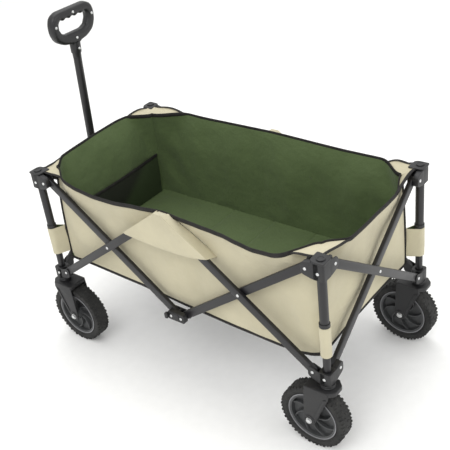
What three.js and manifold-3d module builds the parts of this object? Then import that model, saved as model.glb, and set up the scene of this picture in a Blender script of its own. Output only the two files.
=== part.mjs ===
// Folding camp wagon: a scissor-bar frame on four telescoping posts, with a fabric bag, casters and a handle.
// Millimetres, +Z up. X runs along the wagon, with the pull handle at the front, -X. The floor is z = 0.
import * as THREE from "three";
import { mergeVertices } from "three/addons/utils/BufferGeometryUtils.js";
import Module from "manifold-3d";

const wasm = await Module();
wasm.setup();

// ---------------------------------------------------------------------------
// Driving dimensions
// ---------------------------------------------------------------------------

// scissor frame
const barSpan = 400; // horizontal distance between a bar's end pivots, standing open
const barRise = 294; // vertical distance between them
const pivotInset = 32; // from a post's axis to the bar pivots on its brackets
const hubHalfGap = 16; // from the middle of a long side to each hub pivot
const barHeight = 22;
const barThickness = 11;
const barWall = 1.2;
const barEnd = 11; // a bar goes on this far past its end pivots
const layerGap = 1; // between the two layers of bars where they cross
const outerLayer = 7.6; // centre of the outer bars, outward from the plane of the posts
const pinRadius = 3;
const pinClearance = 0.3;
const pinStandOut = 1.8; // a pin stands out this far past the outer face it is riveted over

// posts
const lowerTubeWall = 1.4;
const lowerTubeShort = 10; // the lower tube ends this far under the upper tube's top
const upperTubeRadius = 11;
const upperTubeWall = 1.2;
const upperTubeLength = 246;
const tubeInset = 1; // a tube stops this far inside its bracket's closed end
const collarStandOut = 2;
const collarHeight = 10;

// corner brackets
const socketHalf = 16; // half width of the square socket round a post
const socketRound = 5;
const earPlate = 2.6; // the plate of a clevis beside an outer bar
const innerPlate = 3;
const slotClearance = 0.3; // on each side of a bar in its clevis
const lowerBracketHeight = 34;
const lowerBracketBelow = 26; // under its pivots
const upperBracketHeight = 44;
const upperBracketBelow = 22;
const earReach = 12; // an ear goes on this far past its pivot
const earHalfHeight = 16;
const hubRound = 6;
const hubAbove = 13; // a hub's plates go on this far above and below its pivots
const knuckleStandOut = 9; // of the lower hubs' knuckle, past the face of the hub
const knuckleHalfHeight = 9;
const knuckleWidth = 11;
const knuckleOverhang = 6; // past the end of the hub
const knuckleRound = 5;
const topPlateThickness = 4;
const topPlateHalf = 21;
const capRadius = 9.5;
const capHeight = 4;

// casters
const wheelRadius = 90;
const wheelWidth = 49;
const rimRadius = 67;
const rimWidth = 38;
const rimWeb = 9; // half thickness of the rim inside its edge
const rimLip = 7;
const tyreShoulderDrop = 12; // the tread's edges, in from the tyre's outside
const tyreShoulderWidth = 11;
const hubRadius = 17;
const hubClearance = 0.6; // between the rim's hub and a fork leg
const boltRadius = 4;
const boltHeadHeight = 4;
const casterTrail = 40; // from the post's axis to the wheel's axle
const forkGap = 2.5; // between the tyre and a fork leg
const forkLeg = 3.5;
const crownClearance = 4; // between the tyre and the crown
const crownThickness = 12;
const crownReach = 28; // the crown goes on this far outward past the post's axis
const crownBack = 14; // and this far inward past the axle
const legDrop = 8; // a leg's outer edge drops this far under the crown before it slants
const axleBossRadius = 16;
const legEdgeAngle = -0.35; // where a leg's outer edge leaves the boss, in radians from the level
const bearingRadius = 17;
const bearingHeight = 12;
const stemClearance = 0.4;
const stemHeight = 40;

// fabric bag
const wallInset = 25; // from the plane of the posts to the bag's outer face
const rimAbove = 18; // the rim over the upper pivots
const bagBottomAbove = 29; // the bag's bottom over the lower pivots
const fabricWall = 4;
const floorFabric = 4;
const rimChamfer = 75; // the rim's corners are cut this far along each side
const cornerChamfer = 6; // the same lower down
const chamferHeight = 115; // over which the corners open out to the rim's
const tabThickness = 3;
const tabEnd = 22; // a corner tab stops this far short of the post's axis, along X and along Y
const tabEndHalf = 8;
const tabRoot = 1.5; // a tab begins this far inside the bag's outer face
const boardThickness = 7;
const boardGap = 4;
const boardRound = 10;

// sleeves and hub hoods
const sleeveAbove = 26; // over the bag's bottom
const sleeveHeight = 84;
const sleeveFabric = 2;
const sleeveClearance = 0.6;
const sleeveTailRadius = 4; // of the loop's narrow end, at the bag's corner
const hoodOverBars = 45; // at its hem a hood goes on this far past the middle of the bars under it
const hoodPeakHalf = 20;
const hoodHemBelow = 61; // under the upper pivots
const hoodPeakAbove = 25;
const hoodFabric = 2.5;
const hoodGap = 0.5; // between the hood and the bag

// pull handle
const handlePivotAhead = 37; // in front of the front posts
const handlePivotBelow = 12; // under the crossing of the front bars
const handleLean = 3; // degrees back, towards the bag
const handleTubeRadius = 11.5;
const handleTubeWall = 1.6;
const handleTubeLength = 422;
const handleRodRadius = 9.5;
const handleRodStart = 34; // how far up the outer tube the inner one begins
const slideGap = 0.4;
const handleEar = 3;
const handleEarHalf = 12;
const handleEarRound = 6;
const basePlateThickness = 3;
const basePlateBelow = 16; // under the handle's pivot
const basePlateAbove = 34;
const gripWidth = 156;
const gripHeight = 102;
const gripDepth = 27;
const gripNeck = 40;
const gripNeckRadius = 15;
const gripNeckBlend = 8; // the neck goes on this far up inside the grip
const gripBar = 25;
const gripBevel = 5;
const gripCorner = 22;
const gripPalm = 34; // solid below the finger hole
const holeCorner = 10;
const fingerWaves = 4;
const fingerSteps = 20;
const fingerDepth = 2;

// shared
const gap = 0.3; // left between pieces that touch
const roundSides = 16; // of a tube
const pinSides = 6;
const tyreSides = 24;
const boltSides = 12;
const overcut = 1; // a cutter goes on this far past what it cuts

// ---------------------------------------------------------------------------
// Sizes worked out from them
// ---------------------------------------------------------------------------

const axleZ = wheelRadius * Math.cos(Math.PI / tyreSides); // the tyre stands on a flat of its outline
const crownBottom = axleZ + wheelRadius + crownClearance;
const crownTop = crownBottom + crownThickness;
const lowerBracketBottom = Math.round(crownTop + bearingHeight);
const lowerPivotZ = lowerBracketBottom + lowerBracketBelow;
const postHalfX = barSpan + pivotInset + hubHalfGap;
const postHalfY = barSpan / 2 + pivotInset;
const upperPivotZ = lowerPivotZ + barRise;
const crossingZ = lowerPivotZ + barRise / 2;
const lowerTubeRadius = upperTubeRadius - upperTubeWall - gap;
const upperBracketBottom = upperPivotZ - upperBracketBelow;
const lowerTubeBottom = lowerBracketBottom + tubeInset;
const upperTubeTop = upperBracketBottom + upperBracketHeight - tubeInset;
const upperTubeBottom = upperTubeTop - upperTubeLength;
const lowerTubeTop = upperTubeTop - lowerTubeShort;
const barLength = Math.hypot(barSpan, barRise);
const barAngle = Math.atan2(barRise, barSpan);
const innerLayer = outerLayer - barThickness - layerGap;
const slotHalf = barThickness / 2 + slotClearance;
const bracketFace = outerLayer + slotHalf + earPlate; // outer face of a clevis or hub, from the posts' plane
const rimZ = upperPivotZ + rimAbove;
const bagBottomZ = lowerPivotZ + bagBottomAbove;
const chamferStartZ = rimZ - chamferHeight;
const sleeveBottom = bagBottomZ + sleeveAbove;
const hoodHem = upperPivotZ - hoodHemBelow;
const hoodPeak = upperPivotZ + hoodPeakAbove;
const hoodHalfWidth = Math.round((hoodHemBelow * barSpan) / barRise + hoodOverBars);
const hoodOuter = bracketFace + pinStandOut + 2 * gap + hoodFabric;
const bagHalfX = postHalfX - wallInset;
const bagHalfY = postHalfY - wallInset;
const bagCornerAway = (2 * wallInset + cornerChamfer) / Math.SQRT2; // the bag's corner, from the post's axis
const sleeveTail = bagCornerAway - gap;
// clear of a pin at its flats
const pinHoleRadius = (pinRadius + pinClearance) / Math.cos(Math.PI / pinSides);
const handleLeanAngle = THREE.MathUtils.degToRad(handleLean);

// ---------------------------------------------------------------------------
// Materials
// ---------------------------------------------------------------------------

function material(color, roughness, metalness) {
  return new THREE.MeshStandardMaterial({ color, roughness, metalness });
}

const paintedSteel = material("#3b3d40", 0.45, 0.4);
const blackPlastic = material("#2b2c2e", 0.55, 0);
const tyreRubber = material("#2a2a2b", 0.85, 0);
const rimPlastic = material("#4a4b4c", 0.5, 0);
const zincSteel = material("#c9cacb", 0.35, 1);
const beigeCanvas = material("#d3cbb5", 0.9, 0);
const greenLining = material("#4c6138", 0.9, 0);

// ---------------------------------------------------------------------------
// Solids
// ---------------------------------------------------------------------------

function solidOf(geometry) {
  const bare = geometry.index ? geometry.toNonIndexed() : geometry.clone();
  bare.deleteAttribute("normal");
  bare.deleteAttribute("uv");
  const merged = mergeVertices(bare, 1e-4);
  const mesh = new wasm.Mesh({
    numProp: 3,
    vertProperties: new Float32Array(merged.attributes.position.array),
    triVerts: new Uint32Array(merged.index.array),
  });
  return new wasm.Manifold(mesh);
}

function geometryOf(solid) {
  const mesh = solid.getMesh();
  const geometry = new THREE.BufferGeometry();
  geometry.setAttribute("position", new THREE.BufferAttribute(mesh.vertProperties, 3));
  geometry.setIndex(new THREE.BufferAttribute(mesh.triVerts, 1));
  geometry.computeVertexNormals();
  return geometry;
}

function joined(solids) {
  return solids.reduce((whole, solid) => whole.add(solid));
}

// a box between two corners
function block(x0, y0, z0, x1, y1, z1) {
  const box = new THREE.BoxGeometry(x1 - x0, y1 - y0, z1 - z0);
  box.translate((x0 + x1) / 2, (y0 + y1) / 2, (z0 + z1) / 2);
  return solidOf(box);
}

// an outline extruded along +Z, from z0 to z1
function prism(shape, z0, z1, curveSegments = 6) {
  const body = new THREE.ExtrudeGeometry(shape, { depth: z1 - z0, bevelEnabled: false, curveSegments });
  body.translate(0, 0, z0);
  return solidOf(body);
}

// an outline in X and Z extruded along Y, from y0 to y1
function sidePrism(shape, y0, y1, curveSegments = 6) {
  const body = new THREE.ExtrudeGeometry(shape, { depth: y1 - y0, bevelEnabled: false, curveSegments });
  body.rotateX(Math.PI / 2);
  body.translate(0, y1, 0);
  return solidOf(body);
}

// a disc or rod along Z
function rod(radius, z0, z1, sides = roundSides) {
  const body = new THREE.CylinderGeometry(radius, radius, z1 - z0, sides);
  body.rotateX(Math.PI / 2);
  body.translate(0, 0, (z0 + z1) / 2);
  return solidOf(body);
}

// a disc or rod along Y through x and z
function rodAlongY(radius, y0, y1, x, z, sides = roundSides) {
  const body = new THREE.CylinderGeometry(radius, radius, y1 - y0, sides);
  body.translate(x, (y0 + y1) / 2, z);
  return solidOf(body);
}

// a hinge pin along Y through x and z
function pinAlongY(y0, y1, x, z) {
  return rodAlongY(pinRadius, y0, y1, x, z, pinSides);
}

function tube(radius, bore, z0, z1, sides = roundSides) {
  return rod(radius, z0, z1, sides).subtract(rod(bore, z0 - overcut, z1 + overcut, sides));
}

function roundedRectangle(x0, y0, x1, y1, round) {
  const shape = new THREE.Shape();
  shape.moveTo(x0 + round, y0);
  shape.lineTo(x1 - round, y0);
  shape.absarc(x1 - round, y0 + round, round, -Math.PI / 2, 0, false);
  shape.lineTo(x1, y1 - round);
  shape.absarc(x1 - round, y1 - round, round, 0, Math.PI / 2, false);
  shape.lineTo(x0 + round, y1);
  shape.absarc(x0 + round, y1 - round, round, Math.PI / 2, Math.PI, false);
  shape.lineTo(x0, y0 + round);
  shape.absarc(x0 + round, y0 + round, round, Math.PI, Math.PI * 1.5, false);
  return shape;
}

function polygon(points) {
  return new THREE.Shape(points.map(([x, y]) => new THREE.Vector2(x, y)));
}

// swaps X and Y, for the short-side twin of a long-side shape
function turned(solid) {
  return solid.mirror([1, -1, 0]);
}

// ---------------------------------------------------------------------------
// The object
// ---------------------------------------------------------------------------

const wagon = new THREE.Group();

function place(name, solid, look, parent = wagon) {
  const mesh = new THREE.Mesh(geometryOf(solid), look);
  mesh.name = name;
  parent.add(mesh);
  return mesh;
}

// endX is -1 at the front and +1 at the rear; sideY is -1 on the left and +1 on the right
const corners = [
  { name: "front_left", endX: -1, sideY: -1 },
  { name: "rear_left", endX: 1, sideY: -1 },
  { name: "rear_right", endX: 1, sideY: 1 },
  { name: "front_right", endX: -1, sideY: 1 },
];

// A corner's pieces are drawn with the post's axis at x = y = 0, +X outward along the wagon and +Y outward
// across it, and then mirrored into place.
function atCorner(solid, corner) {
  return solid.scale([corner.endX, corner.sideY, 1]).translate([
    corner.endX * postHalfX,
    corner.sideY * postHalfY,
    0,
  ]);
}

// At a left rear or right front corner the upper short-side bar runs in the outer layer, and at the other two
// in the inner layer. The lower short-side bars take the other layer. On the long sides lower ends are outer.
function upperEndLayer(corner) {
  return corner.endX * corner.sideY < 0 ? outerLayer : innerLayer;
}

function lowerEndLayer(corner) {
  return corner.endX * corner.sideY < 0 ? innerLayer : outerLayer;
}

// One clevis of a corner bracket, reaching towards -X, with its pin. layer is the bar's place across it.
function clevis(layer, pivotZ, bodyBottom, bodyTop) {
  const reach = -(pivotInset + earReach);
  const low = pivotZ - earHalfHeight;
  const high = pivotZ + earHalfHeight;
  const outline = new THREE.Shape();
  outline.moveTo(0, bodyBottom);
  outline.lineTo(0, bodyTop);
  outline.lineTo(-socketHalf, bodyTop);
  outline.lineTo(reach + earReach / 2, high);
  outline.lineTo(reach, high - earReach / 2);
  outline.lineTo(reach, low + earReach / 2);
  outline.lineTo(reach + earReach / 2, low);
  outline.lineTo(-socketHalf, bodyBottom);
  outline.closePath();
  const outer = sidePrism(outline, layer + slotHalf, bracketFace);
  const inner = sidePrism(outline, layer - slotHalf - innerPlate, layer - slotHalf);
  const pin = pinAlongY(layer - slotHalf - innerPlate, bracketFace + pinStandOut, -pivotInset, pivotZ);
  return joined([outer, inner, pin]);
}

// A moulded corner bracket: a square socket on the post and a clevis for each of its two bars.
function cornerBracket(longLayer, shortLayer, pivotZ, bottom, height, tubeRadius) {
  const top = bottom + height;
  const square = roundedRectangle(-socketHalf, -socketHalf, socketHalf, socketHalf, socketRound);
  const socket = prism(square, bottom, top, 2);
  const arms = [clevis(longLayer, pivotZ, bottom, top), turned(clevis(shortLayer, pivotZ, bottom, top))];
  const hole = rod(tubeRadius + gap, bottom - overcut, top + overcut);
  return joined([socket, ...arms]).subtract(hole);
}

function lowerBracket(corner) {
  return cornerBracket(outerLayer, lowerEndLayer(corner), lowerPivotZ, lowerBracketBottom, lowerBracketHeight,
    lowerTubeRadius);
}

function upperBracket(corner) {
  const top = upperBracketBottom + upperBracketHeight;
  const plateTop = top + topPlateThickness;
  const square = roundedRectangle(-topPlateHalf, -topPlateHalf, socketHalf, socketHalf, socketRound);
  const plate = prism(square, top, plateTop, 2);
  const cap = rod(capRadius, plateTop, plateTop + capHeight);
  const arms = cornerBracket(innerLayer, upperEndLayer(corner), upperPivotZ, upperBracketBottom,
    upperBracketHeight, upperTubeRadius);
  return joined([arms, plate, cap]);
}

function lowerTube() {
  return tube(lowerTubeRadius, lowerTubeRadius - lowerTubeWall, lowerTubeBottom, lowerTubeTop);
}

function upperTube() {
  const collarBottom = sleeveBottom + sleeveHeight + gap;
  const collar = rod(upperTubeRadius + collarStandOut, collarBottom, collarBottom + collarHeight);
  const bore = rod(upperTubeRadius - upperTubeWall, upperTubeBottom - overcut, upperTubeTop + overcut);
  return rod(upperTubeRadius, upperTubeBottom, upperTubeTop).add(collar).subtract(bore);
}

// The loop of fabric that holds the bag's corner to the post: round at the post and narrowing to a tail.
function sleeve() {
  const inner = upperTubeRadius + sleeveClearance;
  const centres = sleeveTail - sleeveTailRadius;
  const loop = (grow) => {
    const near = inner + grow;
    const far = sleeveTailRadius - sleeveFabric + grow;
    const lean = Math.asin((near - far) / centres);
    const shape = new THREE.Shape();
    shape.absarc(0, 0, near, -Math.PI / 2 - lean, Math.PI / 2 + lean, false);
    shape.absarc(-centres, 0, far, Math.PI / 2 + lean, Math.PI * 1.5 - lean, false);
    return shape;
  };
  const top = sleeveBottom + sleeveHeight;
  const body = prism(loop(sleeveFabric), sleeveBottom, top, 7)
    .subtract(prism(loop(0), sleeveBottom - overcut, top + overcut, 7));
  return body.rotate([0, 0, 45]);
}

// ---------------------------------------------------------------------------
// Scissor bars and hubs
// ---------------------------------------------------------------------------

// A bar lying along X about its middle, with its layer's centre at y = 0. An outer bar carries the crossing
// rivet on its +Y side, and the other bars have a hole there.
function bar(isOuter) {
  const half = barLength / 2;
  const radius = barHeight / 2;
  const outline = new THREE.Shape();
  outline.absarc(half + barEnd - radius, 0, radius, -Math.PI / 2, Math.PI / 2, false);
  outline.absarc(-half - barEnd + radius, 0, radius, Math.PI / 2, Math.PI * 1.5, false);
  const y = barThickness / 2;
  const skin = sidePrism(outline, -y, y, 4);
  const reach = half + barEnd + overcut;
  const hollow = block(-reach, -y + barWall, -radius + barWall, reach, y - barWall, radius - barWall);
  let body = skin.subtract(hollow);
  for (const x of isOuter ? [-half, half] : [-half, 0, half]) {
    body = body.subtract(rodAlongY(pinHoleRadius, -y - overcut, y + overcut, x, 0, pinSides));
  }
  if (isOuter) {
    const through = -y - layerGap - barThickness - pinStandOut;
    body = body.add(pinAlongY(through, y + pinStandOut, 0, 0));
  }
  return body;
}

// Places a bar on a long side. rises is +1 when its rear end is the upper one.
function longBar(isOuter, endX, sideY, rises) {
  const tilted = bar(isOuter).rotate([0, (-rises * barAngle * 180) / Math.PI, 0]);
  const layer = isOuter ? outerLayer : innerLayer;
  const outward = tilted.translate([0, layer, 0]).scale([1, sideY, 1]);
  return outward.translate([endX * (hubHalfGap + barSpan / 2), sideY * postHalfY, crossingZ]);
}

// Places a bar on a short side. rises is +1 when its right end is the upper one.
function shortBar(isOuter, endX, rises) {
  const tilted = turned(bar(isOuter).rotate([0, (-rises * barAngle * 180) / Math.PI, 0]));
  const layer = isOuter ? outerLayer : innerLayer;
  const outward = tilted.translate([layer, 0, 0]).scale([endX, 1, 1]);
  return outward.translate([endX * postHalfX, 0, crossingZ]);
}

// The bracket that joins the two bars in the middle of a long side, drawn with +Y outward.
function middleHub(layer, pivotZ) {
  const halfLength = hubHalfGap + earReach;
  const low = pivotZ - hubAbove;
  const high = pivotZ + hubAbove;
  const back = layer - slotHalf - innerPlate;
  const side = roundedRectangle(-halfLength, low, halfLength, high, hubRound);
  const plate = (y0, y1) => sidePrism(side, y0, y1, 3);
  const solids = [plate(layer + slotHalf, bracketFace), plate(back, layer - slotHalf)];
  for (const x of [-hubHalfGap, hubHalfGap]) {
    solids.push(pinAlongY(back, bracketFace + pinStandOut, x, pivotZ));
  }
  return joined(solids);
}

// The knuckle that stands out in front of the lower hub.
function hubKnuckle() {
  const end = -hubHalfGap - earReach - knuckleOverhang;
  const low = lowerPivotZ - knuckleHalfHeight;
  const shape = roundedRectangle(end, low, end + knuckleWidth, low + 2 * knuckleHalfHeight, knuckleRound);
  return sidePrism(shape, bracketFace - earPlate / 2, bracketFace + knuckleStandOut, 3);
}

// The fabric hood over an upper hub and the bars that rise to it, open below and towards the bag.
function hubHood() {
  const run = hoodHalfWidth - hoodPeakHalf;
  const rise = hoodPeak - hoodHem;
  const slant = Math.hypot(run, rise);
  const outline = (wall, hem) => {
    const hemHalf = hoodHalfWidth - (wall * slant) / rise - ((hem - hoodHem) * run) / rise;
    const peakHalf = hoodPeakHalf + (wall * run) / rise - (wall * slant) / rise;
    const peak = hoodPeak - wall;
    return polygon([[-hemHalf, hem], [hemHalf, hem], [peakHalf, peak], [-peakHalf, peak]]);
  };
  const back = -wallInset + hoodGap;
  const skin = sidePrism(outline(0, hoodHem), back, hoodOuter);
  const inside = sidePrism(outline(hoodFabric, hoodHem - overcut), back - overcut, hoodOuter - hoodFabric);
  return skin.subtract(inside);
}

// ---------------------------------------------------------------------------
// Casters
// ---------------------------------------------------------------------------

function ring(profile, sides) {
  const points = [...profile, profile[0]].map(([radius, across]) => new THREE.Vector2(radius, across));
  const body = new THREE.LatheGeometry(points, sides);
  body.rotateY(Math.PI / sides);
  return solidOf(body);
}

function tyre() {
  const half = wheelWidth / 2;
  return ring([
    [rimRadius + gap, -rimWidth / 2],
    [wheelRadius - tyreShoulderDrop, -half],
    [wheelRadius, -half + tyreShoulderWidth],
    [wheelRadius, half - tyreShoulderWidth],
    [wheelRadius - tyreShoulderDrop, half],
    [rimRadius + gap, rimWidth / 2],
  ], tyreSides);
}

function rim() {
  const half = rimWidth / 2;
  const hubHalf = wheelWidth / 2 + forkGap - hubClearance;
  return ring([
    [boltRadius + pinClearance, -hubHalf],
    [hubRadius, -hubHalf],
    [rimRadius - rimLip, -rimWeb],
    [rimRadius, -half],
    [rimRadius, half],
    [rimRadius - rimLip, rimWeb],
    [hubRadius, hubHalf],
    [boltRadius + pinClearance, hubHalf],
  ], tyreSides);
}

// The fork, drawn with +X outward from the wagon's middle: crown, two legs, bearing and stem.
function fork() {
  const inside = wheelWidth / 2 + forkGap;
  const outside = inside + forkLeg;
  const crownEnd = -casterTrail - crownBack;
  const crown = block(crownEnd, -outside, crownBottom, crownReach, outside, crownTop);
  const leg = new THREE.Shape();
  leg.moveTo(crownReach, crownTop);
  leg.lineTo(crownReach, crownBottom - legDrop);
  leg.absarc(-casterTrail, axleZ, axleBossRadius, legEdgeAngle, -Math.PI, true);
  leg.lineTo(crownEnd, crownBottom);
  leg.lineTo(crownEnd, crownTop);
  leg.closePath();
  const bearingTop = lowerBracketBottom - gap;
  const bearing = rod(bearingRadius, crownTop - overcut, bearingTop);
  const stemRadius = lowerTubeRadius - lowerTubeWall - stemClearance;
  const stem = rod(stemRadius, crownTop - overcut, lowerTubeBottom + stemHeight);
  const through = outside + overcut;
  const hole = rodAlongY(boltRadius + gap, -through, through, -casterTrail, axleZ, boltSides);
  return joined([crown, sidePrism(leg, inside, outside), sidePrism(leg, -outside, -inside), bearing, stem])
    .subtract(hole);
}

function axleBolt() {
  const outside = wheelWidth / 2 + forkGap + forkLeg + gap;
  const shank = rodAlongY(boltRadius, -outside - overcut, outside + overcut, 0, 0, boltSides);
  const head = rodAlongY(boltRadius * 2, outside, outside + boltHeadHeight, 0, 0, 6);
  const nut = rodAlongY(boltRadius * 2, -outside - boltHeadHeight, -outside, 0, 0, 6);
  return joined([shank, head, nut]);
}

// ---------------------------------------------------------------------------
// Bag
// ---------------------------------------------------------------------------

// A rectangle with cut corners, as a ring of points at one height.
function octagon(halfX, halfY, cut, z) {
  return [
    [-halfX + cut, -halfY, z],
    [halfX - cut, -halfY, z],
    [halfX, -halfY + cut, z],
    [halfX, halfY - cut, z],
    [halfX - cut, halfY, z],
    [-halfX + cut, halfY, z],
    [-halfX, halfY - cut, z],
    [-halfX, -halfY + cut, z],
  ];
}

// A closed solid through a stack of rings, with a flat base and top.
function loft(rings) {
  const count = rings[0].length;
  const triangles = [];
  const corner = (level, k) => rings[level][k % count];
  for (let level = 0; level + 1 < rings.length; level += 1) {
    for (let k = 0; k < count; k += 1) {
      triangles.push(corner(level, k), corner(level, k + 1), corner(level + 1, k + 1));
      triangles.push(corner(level, k), corner(level + 1, k + 1), corner(level + 1, k));
    }
  }
  for (let k = 1; k + 1 < count; k += 1) {
    triangles.push(corner(0, 0), corner(0, k + 1), corner(0, k));
    const last = rings.length - 1;
    triangles.push(corner(last, 0), corner(last, k), corner(last, k + 1));
  }
  const geometry = new THREE.BufferGeometry();
  geometry.setAttribute("position", new THREE.BufferAttribute(new Float32Array(triangles.flat()), 3));
  return solidOf(geometry);
}

// The bag's outline grown inward by a wall, between two heights.
function bagVolume(inset, bottom, top) {
  const halfX = bagHalfX - inset;
  const halfY = bagHalfY - inset;
  const corner = Math.tan(Math.PI / 8) * inset; // keeps a chamfer's wall as thick as the others
  return loft([
    octagon(halfX, halfY, cornerChamfer - Math.min(corner, cornerChamfer - 2), bottom),
    octagon(halfX, halfY, cornerChamfer - Math.min(corner, cornerChamfer - 2), chamferStartZ),
    octagon(halfX, halfY, rimChamfer - corner, top),
  ]);
}

// The triangle of fabric from the rim's cut corner to the corner bracket.
function cornerTab(corner) {
  const root = wallInset + tabRoot;
  const shape = polygon([
    [-wallInset - rimChamfer, -root],
    [-root, -wallInset - rimChamfer],
    [-tabEnd, -tabEnd - tabEndHalf],
    [-tabEnd - tabEndHalf, -tabEnd],
  ].reverse());
  const tab = prism(shape, rimZ - tabThickness, rimZ);
  return atCorner(tab, corner);
}

function bag() {
  const shell = bagVolume(0, bagBottomZ, rimZ);
  const space = bagVolume(fabricWall, bagBottomZ + floorFabric, rimZ + overcut / 1000);
  return joined([shell.subtract(space), ...corners.map(cornerTab)]);
}

function floorBoard() {
  const halfX = bagHalfX - fabricWall - boardGap;
  const halfY = bagHalfY - fabricWall - boardGap;
  const bottom = bagBottomZ + floorFabric + gap;
  const outline = roundedRectangle(-halfX, -halfY, halfX, halfY, boardRound);
  return prism(outline, bottom, bottom + boardThickness, 4);
}

// ---------------------------------------------------------------------------
// Pull handle, drawn standing on its pivot at the origin
// ---------------------------------------------------------------------------

// The bracket on the crossing of the front bars, with its pivot pin. It stays upright.
function handleBase() {
  const back = handlePivotAhead - (outerLayer + barThickness / 2 + pinStandOut + gap);
  const halfWidth = handleTubeRadius + slideGap + handleEar;
  const face = back - basePlateThickness;
  const plate = block(face, -halfWidth, -basePlateBelow, back, halfWidth, basePlateAbove);
  const half = handleEarHalf;
  const side = roundedRectangle(-handleTubeRadius, -half, (face + back) / 2, half, handleEarRound);
  const ear = sidePrism(side, halfWidth - handleEar, halfWidth, 4);
  const otherEar = ear.mirror([0, 1, 0]);
  const pin = pinAlongY(-halfWidth, halfWidth, 0, 0);
  return joined([plate, ear, otherEar, pin]);
}

function handleOuterTube() {
  const reach = handleTubeRadius + overcut;
  const pinHole = rodAlongY(pinHoleRadius, -reach, reach, 0, 0, pinSides);
  const bottom = tubeInset - handleTubeRadius;
  const bore = handleTubeRadius - handleTubeWall;
  return tube(handleTubeRadius, bore, bottom, handleTubeLength).subtract(pinHole);
}

function handleInnerTube() {
  const bore = handleRodRadius - handleTubeWall;
  return tube(handleRodRadius, bore, handleRodStart, handleTubeLength + gripNeck);
}

// The D-shaped grip: an outline with a finger hole, rounded at its edges, on a round neck.
function grip() {
  const bottom = handleTubeLength + gripNeck;
  const top = bottom + gripHeight;
  const low = bottom + gripBevel;
  const side = gripWidth / 2 - gripBevel;
  const waist = gripNeckRadius - gripBevel;
  const shoulder = top - gripBevel - gripCorner;
  const cheekZ = bottom + gripHeight * 0.42;
  const outline = new THREE.Shape();
  outline.moveTo(-waist, low);
  outline.lineTo(waist, low);
  outline.bezierCurveTo(gripWidth * 0.3, low, side, cheekZ, side, shoulder);
  outline.absarc(side - gripCorner, shoulder, gripCorner, 0, Math.PI / 2, false);
  outline.lineTo(gripCorner - side, top - gripBevel);
  outline.absarc(gripCorner - side, shoulder, gripCorner, Math.PI / 2, Math.PI, false);
  outline.bezierCurveTo(-side, cheekZ, -gripWidth * 0.3, low, -waist, low);

  const inner = side + 2 * gripBevel - gripBar;
  const floor = bottom + gripPalm;
  const ceiling = top - gripBar;
  const hole = new THREE.Path();
  hole.moveTo(-inner / 3, floor);
  hole.bezierCurveTo(-inner * 0.8, floor, -inner, floor + holeCorner, -inner, ceiling - holeCorner);
  for (let k = 0; k <= fingerSteps; k += 1) {
    const across = k / fingerSteps;
    const wave = fingerDepth * (1 - Math.cos(across * fingerWaves * 2 * Math.PI));
    hole.lineTo((2 * across - 1) * (inner - gripBevel), ceiling + gripBevel / 2 - wave);
  }
  hole.lineTo(inner, ceiling - holeCorner);
  hole.bezierCurveTo(inner, floor + holeCorner, inner * 0.8, floor, inner / 3, floor);
  hole.closePath();
  outline.holes.push(hole);

  const depth = gripDepth - 2 * gripBevel;
  const body = new THREE.ExtrudeGeometry(outline, {
    depth,
    bevelThickness: gripBevel,
    bevelSize: gripBevel,
    bevelSegments: 2,
    curveSegments: 5,
  });
  body.translate(0, 0, -depth / 2);
  body.rotateX(Math.PI / 2);
  body.rotateZ(Math.PI / 2);
  const neck = rod(gripNeckRadius, handleTubeLength + gap, bottom + gripNeckBlend);
  const socket = rod(handleRodRadius + gap, handleTubeLength - overcut, bottom + gap);
  return solidOf(body).add(neck).subtract(socket);
}

// ---------------------------------------------------------------------------
// Assembly
// ---------------------------------------------------------------------------

for (const corner of corners) {
  place(`lower_bracket_${corner.name}`, atCorner(lowerBracket(corner), corner), blackPlastic);
  place(`lower_tube_${corner.name}`, atCorner(lowerTube(), corner), paintedSteel);
  place(`upper_bracket_${corner.name}`, atCorner(upperBracket(corner), corner), blackPlastic);
  place(`upper_tube_${corner.name}`, atCorner(upperTube(), corner), paintedSteel);
  place(`post_sleeve_${corner.name}`, atCorner(sleeve(), corner), beigeCanvas);
  place(`caster_fork_${corner.name}`, atCorner(fork(), corner), blackPlastic);

  const wheelCentre = new THREE.Group();
  wheelCentre.position.set(corner.endX * (postHalfX - casterTrail), corner.sideY * postHalfY, axleZ);
  wagon.add(wheelCentre);
  place(`tyre_${corner.name}`, tyre(), tyreRubber, wheelCentre);
  place(`wheel_rim_${corner.name}`, rim(), rimPlastic, wheelCentre);
  place(`axle_bolt_${corner.name}`, axleBolt(), zincSteel, wheelCentre);
}

const sides = [
  { name: "left", sideY: -1 },
  { name: "right", sideY: 1 },
];
const ends = [
  { name: "front", endX: -1 },
  { name: "rear", endX: 1 },
];

for (const side of sides) {
  for (const end of ends) {
    // an outer bar rises from the corner to the middle, and an inner bar falls to it
    const rising = longBar(true, end.endX, side.sideY, -end.endX);
    const falling = longBar(false, end.endX, side.sideY, end.endX);
    place(`outer_bar_${end.name}_${side.name}`, rising, paintedSteel);
    place(`inner_bar_${end.name}_${side.name}`, falling, paintedSteel);
  }
  const onSide = (solid) => solid.scale([1, side.sideY, 1]).translate([0, side.sideY * postHalfY, 0]);
  place(`lower_hub_${side.name}`, onSide(middleHub(innerLayer, lowerPivotZ).add(hubKnuckle())), blackPlastic);
  place(`upper_hub_${side.name}`, onSide(middleHub(outerLayer, upperPivotZ)), blackPlastic);
  place(`hub_hood_${side.name}`, onSide(hubHood()), beigeCanvas);
}

for (const end of ends) {
  // the outer bar's upper end is at the left rear corner, and at the right front one
  place(`outer_cross_bar_${end.name}`, shortBar(true, end.endX, -end.endX), paintedSteel);
  place(`inner_cross_bar_${end.name}`, shortBar(false, end.endX, end.endX), paintedSteel);
}

place("bag", bag(), beigeCanvas);
place("floor_board", floorBoard(), greenLining);

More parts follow.
